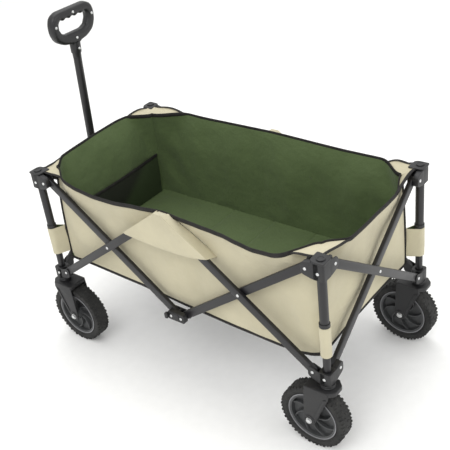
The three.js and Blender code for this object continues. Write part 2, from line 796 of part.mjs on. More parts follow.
const handlePivot = new THREE.Group();
handlePivot.position.set(-postHalfX - handlePivotAhead, 0, crossingZ - handlePivotBelow);
wagon.add(handlePivot);
place("handle_base", handleBase(), blackPlastic, handlePivot);

const leaning = new THREE.Group();
leaning.rotation.y = handleLeanAngle;
handlePivot.add(leaning);
place("handle_outer_tube", handleOuterTube(), paintedSteel, leaning);
place("handle_inner_tube", handleInnerTube(), paintedSteel, leaning);
place("handle_grip", grip(), blackPlastic, leaning);

export default wagon;
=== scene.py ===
import math

import bmesh
import bpy
from bpy.props import FloatProperty, IntProperty, PointerProperty, StringProperty
from mathutils import Matrix, Vector, noise


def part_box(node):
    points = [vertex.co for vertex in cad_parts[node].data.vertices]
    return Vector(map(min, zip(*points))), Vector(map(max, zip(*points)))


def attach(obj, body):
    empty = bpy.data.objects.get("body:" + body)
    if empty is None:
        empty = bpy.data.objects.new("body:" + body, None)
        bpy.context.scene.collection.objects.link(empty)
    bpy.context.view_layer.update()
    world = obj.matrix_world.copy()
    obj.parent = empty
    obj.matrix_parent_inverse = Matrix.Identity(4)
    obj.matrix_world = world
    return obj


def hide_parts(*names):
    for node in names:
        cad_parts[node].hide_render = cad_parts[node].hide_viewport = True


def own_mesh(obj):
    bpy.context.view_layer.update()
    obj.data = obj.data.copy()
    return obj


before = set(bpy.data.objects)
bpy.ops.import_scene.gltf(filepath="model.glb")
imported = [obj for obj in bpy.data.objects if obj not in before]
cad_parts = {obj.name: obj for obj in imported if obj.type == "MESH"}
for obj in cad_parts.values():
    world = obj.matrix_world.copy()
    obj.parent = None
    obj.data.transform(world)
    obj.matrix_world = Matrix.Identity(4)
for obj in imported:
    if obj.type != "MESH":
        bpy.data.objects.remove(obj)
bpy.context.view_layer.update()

bl_info = {
    "name": "Folding camp wagon",
    "version": (1, 0, 0),
    "blender": (4, 5, 0),
    "location": "3D View > Sidebar > Wagon",
    "description": "Builds the looks of a folding camp wagon round its packed frame",
    "category": "Add Mesh",
}

# Sizes in metres. The wagon's length is along X with the pull handle at -X, and +Z is up.
POST = sum(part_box("lower_tube_rear_right"), Vector()) / 2
POST_X, POST_Y = POST.x, POST.y
PIVOT_INSET = 0.032  # from a post's axis to the pivots on its brackets
HUB_HALF = 0.016  # from a hub's middle to its pivots
LOW_Z, HIGH_Z = 0.233, 0.527  # the pivots' heights
CROSS_Z = (LOW_Z + HIGH_Z) / 2
BAR_HEIGHT, BAR_THICK = 0.022, 0.011
OUTER, INNER = 0.0076, -0.0044  # the bars' two layers, outward from the posts' axes
SLOT = 0.0058  # from a layer's middle to the plates on its two sides
EAR = 0.003  # thickness of the plate behind a bar
FACE = 0.016  # the outside of brackets and hubs
AXLE_Z = sum(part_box("axle_bolt_rear_left"), Vector()).z / 2
TRAIL = 0.040  # from a post's axis to its wheel's axle
FORK_TOP = 0.1952

# The bag at its floor and at its rim, which leans out to the bars above the flare.
BASE_X, BASE_Y = 0.423, 0.207
RIM_X, RIM_Y = 0.443, 0.2285
FLARE_Z = 0.430
FLOOR_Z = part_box("floor_board")[1].z
SOFT_EDGE = 60.0  # folds flatter than this, in degrees, are shaded as one surface

# Heights of the rim above the floor at places along each side.
RIMS = {
    "left": ((-0.414, 0.552), (-0.373, 0.546), (-0.308, 0.528), (-0.246, 0.521), (-0.181, 0.522), (-0.092, 0.532),
             (0.0, 0.542), (0.060, 0.537), (0.131, 0.533), (0.175, 0.530), (0.217, 0.522), (0.259, 0.516),
             (0.314, 0.519), (0.365, 0.534), (0.408, 0.540)),
    "right": ((-0.392, 0.554), (-0.240, 0.549), (0.0, 0.552), (0.240, 0.546), (0.425, 0.547)),
    "rear": ((-0.163, 0.540), (-0.103, 0.531), (-0.047, 0.532), (0.012, 0.534), (0.072, 0.532), (0.135, 0.531),
             (0.175, 0.547)),
    "front": ((-0.192, 0.552), (-0.075, 0.557), (0.0, 0.560), (0.080, 0.562), (0.176, 0.554)),
}
# Heights of the hem along the bottom of each side.
HEMS = {
    "left": ((-0.4205, 0.264), (-0.349, 0.266), (-0.157, 0.259), (-0.086, 0.253), (0.015, 0.245), (0.177, 0.237),
             (0.303, 0.234), (0.330, 0.239), (0.350, 0.234), (0.384, 0.243), (0.4205, 0.258)),
    "right": ((-0.4205, 0.262), (0.0, 0.256), (0.4205, 0.262)),
    "rear": ((-0.2045, 0.258), (-0.100, 0.268), (0.0, 0.270), (0.100, 0.270), (0.2045, 0.262)),
    "front": ((-0.2045, 0.264), (0.0, 0.260), (0.2045, 0.262)),
}
# Each corner seam's place at the rim and at the hem, as X and Y.
SEAMS = {"front_left": (0.414, 0.192), "rear_left": (0.408, 0.163), "rear_right": (0.425, 0.175),
         "front_right": (0.392, 0.176)}
SEAM_BASE = (0.4205, 0.2045)
# Where each corner's tab is sewn to the two rims, as X and Y, and how far its free edges bow up.
TABS = {"front_left": (0.370, 0.147), "rear_left": (0.358, 0.102), "rear_right": (0.362, 0.111),
        "front_right": (0.305, 0.122)}
TAB_BOW = {"front_left": 0.0, "rear_left": 0.0, "rear_right": 0.007, "front_right": 0.009}

# The signs of X and Y at each corner, and each wall's way out and its two corners.
CORNERS = {"front_left": (-1, -1), "rear_left": (1, -1), "rear_right": (1, 1), "front_right": (-1, 1)}
SIDES = {
    "left": (Vector((0, -1, 0)), "front_left", "rear_left"),
    "right": (Vector((0, 1, 0)), "front_right", "rear_right"),
    "front": (Vector((-1, 0, 0)), "front_left", "front_right"),
    "rear": (Vector((1, 0, 0)), "rear_left", "rear_right"),
}
LONG_SIDES = (("left", -1), ("right", 1))
ENDS = (("front", -1), ("rear", 1))
# Half a wall each: its side, its way from the middle, its corner and its name.
PANELS = [(side, way, corner, f"{side}_{corner.replace(side, '').strip('_')}")
          for side, (out, *corners) in SIDES.items() for way, corner in zip((-1, 1), corners)]


# ---------------------------------------------------------------------------
# Settings
# ---------------------------------------------------------------------------

class WagonFabric(bpy.types.PropertyGroup):
    """The bag's cloth, binding and piping"""
    canvas: StringProperty(name="Canvas", description="Outside of the bag, sRGB", default="#bbb49a")
    lining: StringProperty(name="Lining", description="Inside of the bag, sRGB", default="#4f5f39")
    tape: StringProperty(name="Binding", description="Binding tape and piping, sRGB", default="#1d1b1a")
    sheet: FloatProperty(name="Fabric", description="Thickness of the fabric with its lining",
                         default=0.0016, min=0.0005, unit="LENGTH")
    tape_width: FloatProperty(name="Binding width", description="Width of the binding on the rim",
                              default=0.0120, min=0.002, unit="LENGTH")
    piping: FloatProperty(name="Piping", description="Radius of the piping along the seams",
                          default=0.0030, min=0.0005, unit="LENGTH")


class WagonFrame(bpy.types.PropertyGroup):
    """The frame's coating, mouldings and rivets"""
    steel: StringProperty(name="Powder coat", description="Coating of the tubes and bars, sRGB", default="#171619")
    plastic: StringProperty(name="Mouldings", description="Moulded brackets and forks, sRGB", default="#161618")
    rivet: FloatProperty(name="Rivet", description="Radius of a rivet's head",
                         default=0.0042, min=0.001, unit="LENGTH")


class WagonWheels(bpy.types.PropertyGroup):
    """The wheels' tread and vanes"""
    blocks: IntProperty(name="Tread blocks", description="Blocks on each shoulder of a tyre", default=50, min=8)
    vanes: IntProperty(name="Vanes", description="Curved vanes of a rim", default=8, min=3)


class WagonStage(bpy.types.PropertyGroup):
    """The camera and the lights"""
    azimuth: FloatProperty(name="Azimuth", description="Camera's turn round the wagon",
                           default=math.radians(41.1486), subtype="ANGLE")
    elevation: FloatProperty(name="Elevation", description="Camera's height as an angle",
                             default=math.radians(31.6271), subtype="ANGLE")
    roll: FloatProperty(name="Roll", description="Camera's turn about its own axis",
                        default=math.radians(-7.3998), subtype="ANGLE")
    distance: FloatProperty(name="Distance", description="From the camera to its target",
                            default=2.27003, unit="LENGTH")
    lens: FloatProperty(name="Lens", description="Focal length in millimetres", default=67.2416,
                        unit="CAMERA")
    light: FloatProperty(name="Light", description="Strength of the studio lights", default=1.0, min=0.0)


# ---------------------------------------------------------------------------
# Materials
# ---------------------------------------------------------------------------

def linear(colour):
    """An sRGB hex colour in linear light."""
    parts = [int(colour[i:i + 2], 16) / 255 for i in (1, 3, 5)]
    return tuple(c / 12.92 if c <= 0.04045 else ((c + 0.055) / 1.055) ** 2.4 for c in parts) + (1.0,)


def add(tree, kind, inputs=None, **settings):
    """Adds a node with its settings, its input values and its links."""
    made = tree.nodes.new(kind)
    for key, value in settings.items():
        setattr(made, key, value)
    for key, value in (inputs or {}).items():
        if isinstance(value, bpy.types.NodeSocket):
            tree.links.new(value, made.inputs[key])
        else:
            made.inputs[key].default_value = value
    return made


def material(name):
    """A new material, its node tree, and the place of each point on the piece."""
    made = bpy.data.materials.new(name)
    made.use_nodes = True
    made.node_tree.nodes.clear()
    return made, made.node_tree, add(made.node_tree, "ShaderNodeTexCoord").outputs["Object"]


def shaded(made, inputs):
    """The material with its shader added, which takes these values and links."""
    shader = add(made.node_tree, "ShaderNodeBsdfPrincipled", inputs)
    add(made.node_tree, "ShaderNodeOutputMaterial", {"Surface": shader.outputs[0]})
    return made


def blotches(tree, place, scale, dark, light):
    """Soft variation between two colours, and the pattern that it follows."""
    cloud = add(tree, "ShaderNodeTexNoise", {"Vector": place, "Scale": scale, "Detail": 4.0})
    ramp = add(tree, "ShaderNodeValToRGB", {"Fac": cloud.outputs["Fac"]})
    for stop, position, colour in zip(ramp.color_ramp.elements, (0.35, 0.65), (dark, light)):
        stop.position = position
        stop.color = colour
    return ramp.outputs["Color"], cloud.outputs["Fac"]


def shade(colour, factor):
    """A colour made darker or lighter."""
    return tuple(min(1.0, c * factor) for c in colour[:3]) + (1.0,)


def threads(tree, place, spacing):
    """A plain weave's height: threads this far apart across and along the cloth."""
    across = add(tree, "ShaderNodeVectorMath", {0: place, 1: (1.0, 1.0, 0.0)}, operation="DOT_PRODUCT")
    along = add(tree, "ShaderNodeVectorMath", {0: place, 1: (0.6, -0.6, 1.0)}, operation="DOT_PRODUCT")
    waves = []
    for way in (across, along):
        turn = add(tree, "ShaderNodeMath", {0: way.outputs["Value"], 1: 2 * math.pi / spacing}, operation="MULTIPLY")
        waves.append(add(tree, "ShaderNodeMath", {0: turn.outputs[0]}, operation="SINE").outputs[0])
    return add(tree, "ShaderNodeMath", {0: waves[0], 1: waves[1]}, operation="MULTIPLY").outputs[0]


def cloth(name, colour, roughness, sheen):
    """Coated woven polyester: matt, with faint shading, soft puckers and an even weave. Its threads of 0.4 mm are
    drawn 3.2 mm apart so that they show."""
    made, tree, place = material(name)
    tone = blotches(tree, place, 9.0, shade(colour, 0.93), shade(colour, 1.04))[0]
    puckers = add(tree, "ShaderNodeTexNoise", {"Vector": place, "Scale": 26.0, "Detail": 3.0})
    soft = add(tree, "ShaderNodeBump", {"Height": puckers.outputs["Fac"], "Strength": 0.5, "Distance": 0.009})
    fine = add(tree, "ShaderNodeBump", {"Height": threads(tree, place, 0.0032), "Strength": 0.25,
                                        "Distance": 0.0002, "Normal": soft.outputs["Normal"]})
    return shaded(made, {"Base Color": tone, "Roughness": roughness, "IOR": 1.46, "Specular IOR Level": 0.3,
                         "Sheen Weight": sheen, "Sheen Roughness": 0.6, "Normal": fine.outputs["Normal"]})


def grained(name, colour, roughness, grain, depth, ior, vary=0.06, spread=0.1):
    """A moulded or coated surface with a fine grain and slightly uneven gloss and tone."""
    made, tree, place = material(name)
    tone, cloud = blotches(tree, place, 35.0, shade(colour, 1 - spread), shade(colour, 1 + spread))
    gloss = add(tree, "ShaderNodeMapRange", {"Value": cloud, "To Min": roughness - vary,
                                             "To Max": roughness + vary})
    pits = add(tree, "ShaderNodeTexNoise", {"Vector": place, "Scale": 1 / grain, "Detail": 2.0})
    bump = add(tree, "ShaderNodeBump", {"Height": pits.outputs["Fac"], "Strength": 0.4, "Distance": depth})
    return shaded(made, {"Base Color": tone, "Roughness": gloss.outputs["Result"], "IOR": ior,
                         "Normal": bump.outputs["Normal"]})


def rubber():
    """Moulded EVA tyre: matt black with pale dust on the high places."""
    made, tree, place = material("moulded_tyre")
    tone = blotches(tree, place, 30.0, linear("#222222"), linear("#2f2f2e"))[0]
    dust = add(tree, "ShaderNodeTexNoise", {"Vector": place, "Scale": 260.0, "Detail": 2.0})
    spots = add(tree, "ShaderNodeMapRange", {"Value": dust.outputs["Fac"], "From Min": 0.5, "From Max": 0.75,
                                             "To Max": 0.35})
    dusty = add(tree, "ShaderNodeMix", {"Factor": spots.outputs["Result"], "A": tone, "B": linear("#4a4946")},
                data_type="RGBA")
    bump = add(tree, "ShaderNodeBump", {"Height": dust.outputs["Fac"], "Strength": 0.4, "Distance": 0.0003})
    return shaded(made, {"Base Color": dusty.outputs["Result"], "Roughness": 0.82, "IOR": 1.5,
                         "Specular IOR Level": 0.35, "Normal": bump.outputs["Normal"]})


def zinc():
    """Zinc-plated steel: bright, with the cloudy spangle of the passivated plating."""
    made, tree, place = material("zinc_plated_steel")
    tone, cloud = blotches(tree, place, 420.0, linear("#b9bbbd"), linear("#e6e6e4"))
    gloss = add(tree, "ShaderNodeMapRange", {"Value": cloud, "To Min": 0.2, "To Max": 0.42})
    return shaded(made, {"Base Color": tone, "Metallic": 1.0, "Roughness": gloss.outputs["Result"]})


def webbing(colour):
    """Woven polyester binding tape: near black, with dull gloss. Its 1.5 mm ribs are drawn 3 mm apart."""
    made, tree, place = material("binding_tape")
    tone = blotches(tree, place, 60.0, shade(colour, 0.75), shade(colour, 1.35))[0]
    bump = add(tree, "ShaderNodeBump", {"Height": threads(tree, place, 0.003), "Strength": 0.4,
                                        "Distance": 0.0004})
    return shaded(made, {"Base Color": tone, "Roughness": 0.7, "IOR": 1.46, "Specular IOR Level": 0.35,
                         "Normal": bump.outputs["Normal"]})


def netting():
    """Knitted polyester net of the pocket: dark strands 3 mm apart, with the lining dim behind them, and darker
    toward the top and toward the pocket's left end."""
    made, tree, place = material("knitted_net")
    height = add(tree, "ShaderNodeVectorMath", {0: place, 1: (0.0, -0.75, 1.0)}, operation="DOT_PRODUCT")
    # Makes the net darker toward the top of the pocket and toward its left end, on a slope across its width.
    upper_left_darkening = add(tree, "ShaderNodeMapRange", {"Value": height.outputs["Value"], "From Min": 0.285,
                                               "From Max": 0.330}, interpolation_type="SMOOTHSTEP")
    tone = add(tree, "ShaderNodeMix", {"Factor": upper_left_darkening.outputs["Result"], "A": linear("#323d27"),
                                       "B": linear("#24271f")}, data_type="RGBA")
    bump = add(tree, "ShaderNodeBump", {"Height": threads(tree, place, 0.003), "Strength": 0.5,
                                        "Distance": 0.0006})
    return shaded(made, {"Base Color": tone.outputs["Result"], "Roughness": 0.8, "IOR": 1.46,
                         "Specular IOR Level": 0.2, "Normal": bump.outputs["Normal"]})


FINISHES = {}


def finish(name):
    """One of the wagon's materials, made the first time that it is asked for. The grained ones have a colour, a
    roughness, a grain and its depth in metres, and an IOR."""
    if name not in FINISHES:
        fabric = bpy.context.scene.wagon_fabric
        metal = bpy.context.scene.wagon_frame
        makers = {
            "canvas": lambda: cloth("coated_canvas", linear(fabric.canvas), 0.82, 0.12),
            "lining": lambda: cloth("coated_lining", linear(fabric.lining), 0.72, 0.08),
            "tape": lambda: webbing(linear(fabric.tape)),
            "net": netting,
            "tyre": rubber,
            "zinc": zinc,
            # Powder-coated mild steel: satin, with the faint orange peel that the melted powder leaves.
            "steel": lambda: grained("powder_coated_steel", linear(metal.steel), 0.38, 0.0022, 0.00012, 1.5,
                                     vary=0.05),
            # Injection-moulded nylon: a fine spark-eroded grain that scatters the highlights.
            "plastic": lambda: grained("moulded_nylon", linear(metal.plastic), 0.5, 0.0016, 0.00018, 1.53),
            # Injection-moulded polypropylene of the grip: near black, a little glossier where hands rub it.
            "grip": lambda: grained("moulded_polypropylene", linear("#19191b"), 0.4, 0.002, 0.00015, 1.49,
                                    vary=0.09),
            # Injection-moulded polypropylene of the wheel rims: mid grey, with dull gloss.
            "rim": lambda: grained("rim_polypropylene", linear("#3f4041"), 0.46, 0.002, 0.00012, 1.49),
            # The rim's moulded edge, in a paler grey than the rim.
            "rim_edge": lambda: grained("pale_rim_edge", linear("#77777a"), 0.4, 0.0015, 0.0001, 1.49),
            # Seamless white background paper: matt, with hardly any tooth.
            "paper": lambda: grained("background_paper", linear("#f7f7f6"), 0.9, 0.004, 0.0001, 1.4, vary=0.03,
                                     spread=0.01),
        }
        FINISHES[name] = makers[name]()
    return FINISHES[name]


# ---------------------------------------------------------------------------
# Shapes
# ---------------------------------------------------------------------------

def faced(shape):
    """The shape with its faces turned outward."""
    bmesh.ops.recalc_face_normals(shape, faces=shape.faces)
    return shape


def arc(x, y, radius, start, end, steps):
    """Points on an arc, with angles in degrees."""
    turn = [math.radians(start + (end - start) * k / steps) for k in range(steps + 1)]
    return [(x + radius * math.cos(a), y + radius * math.sin(a)) for a in turn]


def rounded(x0, y0, x1, y1, radius):
    """The outline of a rectangle with round corners."""
    steps = 5
    return (arc(x1 - radius, y0 + radius, radius, -90, 0, steps) + arc(x1 - radius, y1 - radius, radius, 0, 90, steps)
            + arc(x0 + radius, y1 - radius, radius, 90, 180, steps)
            + arc(x0 + radius, y0 + radius, radius, 180, 270, steps))


def softened(points, radius, steps=4):
    """A polygon's outline with each corner rounded."""
    out = []
    count = len(points)
    for i, point in enumerate(points):
        here = Vector(point)
        back = Vector(points[i - 1]) - here
        on = Vector(points[(i + 1) % count]) - here
        cut = min(radius, back.length * 0.45, on.length * 0.45)
        a = here + back.normalized() * cut
        b = here + on.normalized() * cut
        for k in range(steps + 1):
            t = k / steps
            out.append(tuple(a * (1 - t) ** 2 + here * 2 * t * (1 - t) + b * t ** 2))
    return out


def plate(loops, low, high, edge=0.001, rounds=2, axis="Y"):
    """A flat part with rounded edges, from closed outlines, between two places along its axis.
    Outlines are in X and Z for the Y axis, and in X and Y for the Z axis."""
    curve = bpy.data.curves.new("outline", "CURVE")
    curve.dimensions = "2D"
    curve.fill_mode = "BOTH"
    curve.extrude = (high - low) / 2 - edge
    curve.bevel_depth = edge
    curve.bevel_resolution = rounds
    curve.offset = -edge
    for loop in loops:
        spline = curve.splines.new("POLY")
        spline.points.add(len(loop) - 1)
        for point, (x, y) in zip(spline.points, loop):
            point.co = (x, y, 0, 1)
        spline.use_cyclic_u = True
    holder = bpy.data.objects.new("outline", curve)
    bpy.context.scene.collection.objects.link(holder)
    mesh = bpy.data.meshes.new_from_object(holder.evaluated_get(bpy.context.evaluated_depsgraph_get()))
    bpy.data.objects.remove(holder)
    bpy.data.curves.remove(curve)
    shape = bmesh.new()
    shape.from_mesh(mesh)
    bpy.data.meshes.remove(mesh)
    bmesh.ops.remove_doubles(shape, verts=shape.verts, dist=1e-5)
    middle = (low + high) / 2
    for v in shape.verts:
        x, y, z = v.co
        v.co = (x, middle - z, y) if axis == "Y" else (x, y, middle + z)
    return faced(shape)


def lathe(profile, sides=48, axis="Y"):
    """A ring or solid turned about its axis from (radius, along) points. A ring has no point at radius 0."""
    shape = bmesh.new()
    rings = []
    for radius, along in profile:
        ring = []
        for k in range(sides if radius else 1):
            a = 2 * math.pi * k / sides
            x, y = radius * math.cos(a), radius * math.sin(a)
            ring.append(shape.verts.new((x, along, y) if axis == "Y" else (x, y, along)))
        rings.append(ring)
    for a, b in list(zip(rings, rings[1:])) + ([(rings[-1], rings[0])] if profile[0][0] else []):
        for k in range(sides):
            m = (k + 1) % sides
            corners = list(dict.fromkeys((a[k % len(a)], a[m % len(a)], b[m % len(b)], b[k % len(b)])))
            if len(corners) > 2:
                shape.faces.new(corners)
    return faced(shape)


def skin(rows, around=False):
    """An open surface through rows of points."""
    shape = bmesh.new()
    made = [[shape.verts.new(p) for p in row] for row in rows]
    for a, b in zip(made, made[1:]):
        for k in range(len(a) if around else len(a) - 1):
            m = (k + 1) % len(a)
            shape.faces.new((a[k], a[m], b[m], b[k]))
    return shape


def sweep(path, outs, half_out, half_down, sides=10):
    """An oval cord or tape along a path. outs are the directions of its thin side, one for all or one a point."""
    if isinstance(outs, Vector):
        outs = [outs] * len(path)
    rings = []
    for i, point in enumerate(path):
        ahead = (path[min(i + 1, len(path) - 1)] - path[max(i - 1, 0)]).normalized()
        out = (outs[i] - ahead * outs[i].dot(ahead)).normalized()
        down = ahead.cross(out)
        turns = [2 * math.pi * k / sides for k in range(sides)]
        rings.append([point + out * half_out * math.cos(a) + down * half_down * math.sin(a) for a in turns])
    shape = skin(rings, around=True)
    corners = list(shape.verts)
    shape.faces.new(corners[sides - 1::-1])
    shape.faces.new(corners[-sides:])
    return faced(shape)


def moved(shape, *matrices):
    """The shape after these changes of place, the last one first. A mirrored shape keeps its faces outward."""
    whole = Matrix.Identity(4)
    for m in matrices:
        whole = whole @ m
    bmesh.ops.transform(shape, matrix=whole, verts=shape.verts)
    if whole.determinant() < 0:
        bmesh.ops.reverse_faces(shape, faces=shape.faces)
    return shape


def shift(x=0.0, y=0.0, z=0.0):
    """A move."""
    return Matrix.Translation((x, y, z))


def turn(degrees, axis):
    """A turn about an axis through the origin."""
    return Matrix.Rotation(math.radians(degrees), 4, axis)


def flip(x=1, y=1):
    """A mirror change of X, Y or both, where they are -1."""
    return Matrix.Diagonal((x, y, 1, 1))


TWIN = Matrix(((0, 1, 0, 0), (1, 0, 0, 0), (0, 0, 1, 0), (0, 0, 0, 1)))  # swaps X and Y


def piece(name, parts, body, slot, replaced=(), sharp=38.0):
    """One piece from (shape, finish) pairs, riding on a body. Cloth is welded, so that a sheet is one closed
    shell."""
    mesh = bpy.data.meshes.new(name)
    names = list(dict.fromkeys(look for shape, look in parts))
    whole = bmesh.new()
    for shape, look in parts:
        for face in shape.faces:
            face.material_index = names.index(look)
            face.smooth = True
        lone = bpy.data.meshes.new("part")
        shape.to_mesh(lone)
        shape.free()
        whole.from_mesh(lone)
        bpy.data.meshes.remove(lone)
    if slot in ("canvas", "lining"):
        bmesh.ops.remove_doubles(whole, verts=whole.verts, dist=2e-6)
    whole.to_mesh(mesh)
    whole.free()
    for look in names:
        mesh.materials.append(finish(look))
    mesh.set_sharp_from_angle(angle=math.radians(sharp))
    made = bpy.data.objects.new(name, mesh)
    bpy.context.scene.collection.objects.link(made)
    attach(made, body)
    if replaced:
        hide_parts(*replaced)
    return made


RIVET_HEIGHT = 0.0019


def rivet_head(radius, height=RIVET_HEIGHT):
    """A domed head that stands on its axis, +Y outward, with its foot at the origin."""
    return lathe([(0, -0.001), (radius, -0.001), (radius, 0.0003), (radius * 0.86, height * 0.62),
                  (radius * 0.5, height * 0.94), (0, height)], 20)


def rivets(name, places, body, radius=None):
    """Zinc rivet heads at these places, on one body."""
    radius = radius or bpy.context.scene.wagon_frame.rivet
    piece(name, [(moved(rivet_head(radius), place), "zinc") for place in places], body, "zinc_steel")


def between(points, x):
    """A smooth height at x through (x, height) points."""
    if x <= points[0][0]:
        return points[0][1]
    for (x0, h0), (x1, h1) in zip(points, points[1:]):
        if x <= x1:
            t = (x - x0) / (x1 - x0)
            return h0 + (h1 - h0) * (t * t * (3 - 2 * t) * 0.5 + t * 0.5)
    return points[-1][1]


def at_corner(corner):
    """From a corner drawn with the post at the origin, +X and +Y outward, to its place."""
    end, side = CORNERS[corner]
    return shift(end * POST_X, side * POST_Y) @ flip(end, side)


# ---------------------------------------------------------------------------
# Frame
# ---------------------------------------------------------------------------

LIGHTS = (  # name, place, size across and watts
    ("key_light", Vector((0.6, -2.6, 3.2)), 2.6, 46.0),
    ("top_light", Vector((-0.8, 0.8, 3.6)), 3.0, 40.0),
    ("fill_light", Vector((2.8, 0.4, 1.8)), 2.2, 18.0),
)
LIT = Vector((0, 0, 0.3))  # where the lights point
SEEN = Vector((-0.008075, 0, 0.374965))  # the middle of the view
PAPER_REACH = 60.0


class WAGON_OT_stage(bpy.types.Operator):
    """Sets the floor, the soft studio light and the camera"""
    bl_idname = "wagon.stage"
    bl_label = "Stage"

    def execute(self, context):
        stage = context.scene.wagon_stage
        context.scene.view_settings.view_transform = "Standard"
        floor = bpy.data.objects.new("studio_floor", bpy.data.meshes.new("studio_floor"))
        across = (-PAPER_REACH, 0, PAPER_REACH)
        ground = skin([[Vector((x, y, 0)) for x in across] for y in across])
        ground.to_mesh(floor.data)
        ground.free()
        floor.data.materials.append(finish("paper"))
        context.scene.collection.objects.link(floor)

        world = bpy.data.worlds.new("studio")
        world.use_nodes = True
        backdrop = world.node_tree.nodes["Background"]
        backdrop.inputs["Color"].default_value = linear("#fbfbfa")
        backdrop.inputs["Strength"].default_value = stage.light
        context.scene.world = world
        for name, place, size, power in LIGHTS:
            lamp = bpy.data.lights.new(name, "AREA")
            lamp.shape = "DISK"
            lamp.size = size
            lamp.energy = power * stage.light
            holder = bpy.data.objects.new(name, lamp)
            holder.location = place
            holder.rotation_euler = (LIT - place).to_track_quat("-Z", "Y").to_euler()
            context.scene.collection.objects.link(holder)

        az, el = stage.azimuth, stage.elevation
        back = Vector((math.sin(az) * math.cos(el), -math.cos(az) * math.cos(el), math.sin(el)))
        right = (-back).cross(Vector((0, 0, 1))).normalized()
        up = right.cross(-back)
        right, up = (right * math.cos(stage.roll) + up * math.sin(stage.roll),
                     up * math.cos(stage.roll) - right * math.sin(stage.roll))
        camera = bpy.data.objects.new("camera", bpy.data.cameras.new("camera"))
        camera.data.lens = stage.lens
        place = Matrix((right, up, back)).transposed().to_4x4()
        place.translation = SEEN + back * stage.distance
        camera.matrix_world = place
        context.scene.collection.objects.link(camera)
        context.scene.camera = camera
        return {"FINISHED"}


def tube_shape(radius, bore, low, high):
    """A round tube on the Z axis with broken edges."""
    lip = 0.0004
    return lathe([(radius, low + lip), (radius, high - lip), (radius - lip, high), (bore, high), (bore, low),
                  (radius - lip, low)], 40, axis="Z")


LOWER_TUBE = (0.0095, 0.0081, 0.208, 0.538)  # radius, bore, bottom and top
UPPER_TUBE = (0.011, 0.0098, 0.302, 0.548)
COLLAR = [(0.0112, 0.3723), (0.0125, 0.3723), (0.013, 0.3728), (0.013, 0.3818), (0.0125, 0.3823), (0.0112, 0.3823)]


class WAGON_OT_posts(bpy.types.Operator):
    """Makes the telescoping post tubes at the four corners"""
    bl_idname = "wagon.posts"
    bl_label = "Posts"

    def execute(self, context):
        for corner in CORNERS:
            place = at_corner(corner)
            piece(f"post_inner_tube_{corner}", [(moved(tube_shape(*LOWER_TUBE), place), "steel")],
                  f"lower_post_{corner}", "painted_steel", [f"lower_tube_{corner}"])
            collar = moved(lathe(COLLAR, 40, axis="Z"), place)
            piece(f"post_outer_tube_{corner}", [(moved(tube_shape(*UPPER_TUBE), place), "steel"), (collar, "plastic")],
                  f"upper_post_{corner}", "painted_steel", [f"upper_tube_{corner}"])
        return {"FINISHED"}


def bar_shape(length):
    """A length of rectangular tube with crushed, rounded ends past its pivots, along X about its middle."""
    half, r = length / 2, BAR_HEIGHT / 2
    outline = arc(half, 0, r, -90, 90, 10) + arc(-half, 0, r, 90, 270, 10)
    return plate([outline], -BAR_THICK / 2, BAR_THICK / 2, edge=0.0018)


class WAGON_OT_scissor_bars(bpy.types.Operator):
    """Makes the twelve scissor bars and the rivets at their crossings"""
    bl_idname = "wagon.scissor_bars"
    bl_label = "Scissor bars"

    def execute(self, context):
        span = POST_X - PIVOT_INSET - HUB_HALF
        rise = HIGH_Z - LOW_Z
        length = math.hypot(span, rise)
        tilt = math.degrees(math.atan2(rise, span))
        crossings = [(shift(ex * (HUB_HALF + span / 2), sy * POST_Y, CROSS_Z) @ flip(1, sy), ex,
                      f"bar_{end}_{side}", f"{end}_{side}") for side, sy in LONG_SIDES for end, ex in ENDS]
        crossings += [(shift(ex * POST_X, 0, CROSS_Z) @ flip(ex, 1) @ TWIN, ex, f"cross_bar_{end}", end)
                      for end, ex in ENDS]
        for middle, ex, bar, spot in crossings:
            for kind, layer, rises in (("outer", OUTER, -ex), ("inner", INNER, ex)):
                place = middle @ shift(0, layer) @ turn(-rises * tilt, "Y")
                name = f"{kind}_{bar}"
                piece(f"steel_{name}", [(moved(bar_shape(length), place), "steel")], name, "painted_steel", [name])
                if kind == "outer":
                    behind = shift(0, -BAR_THICK * 1.5 - 0.001) @ turn(180, "X")
                    rivets(f"crossing_rivet_{spot}", [place @ shift(0, BAR_THICK / 2), place @ behind], name)
        return {"FINISHED"}


def jaws(outline, layer, edge=0.0009):
    """The two plates that hold a layer's bars between them, the outer one out to the bracket's face."""
    return [plate([outline], layer + SLOT, FACE, edge=edge),
            plate([outline], layer - SLOT - EAR, layer - SLOT, edge=edge)]


def arm(layer, pivot, low, high):
    """A bracket's arm towards -X, tapered from its socket to the pivot."""
    reach = -(PIVOT_INSET + 0.012)
    bottom, top = pivot - 0.016, pivot + 0.016
    return jaws(softened([(0.002, low), (-0.016, low), (reach + 0.006, bottom), (reach, bottom + 0.006),
                          (reach, top - 0.006), (reach + 0.006, top), (-0.016, high), (0.002, high)], 0.004),
                layer, 0.0008)


LOWER_BRACKET = (LOW_Z, 0.207, 0.241)  # heights of its pivots, bottom and top
UPPER_BRACKET = (HIGH_Z, 0.505, 0.549)


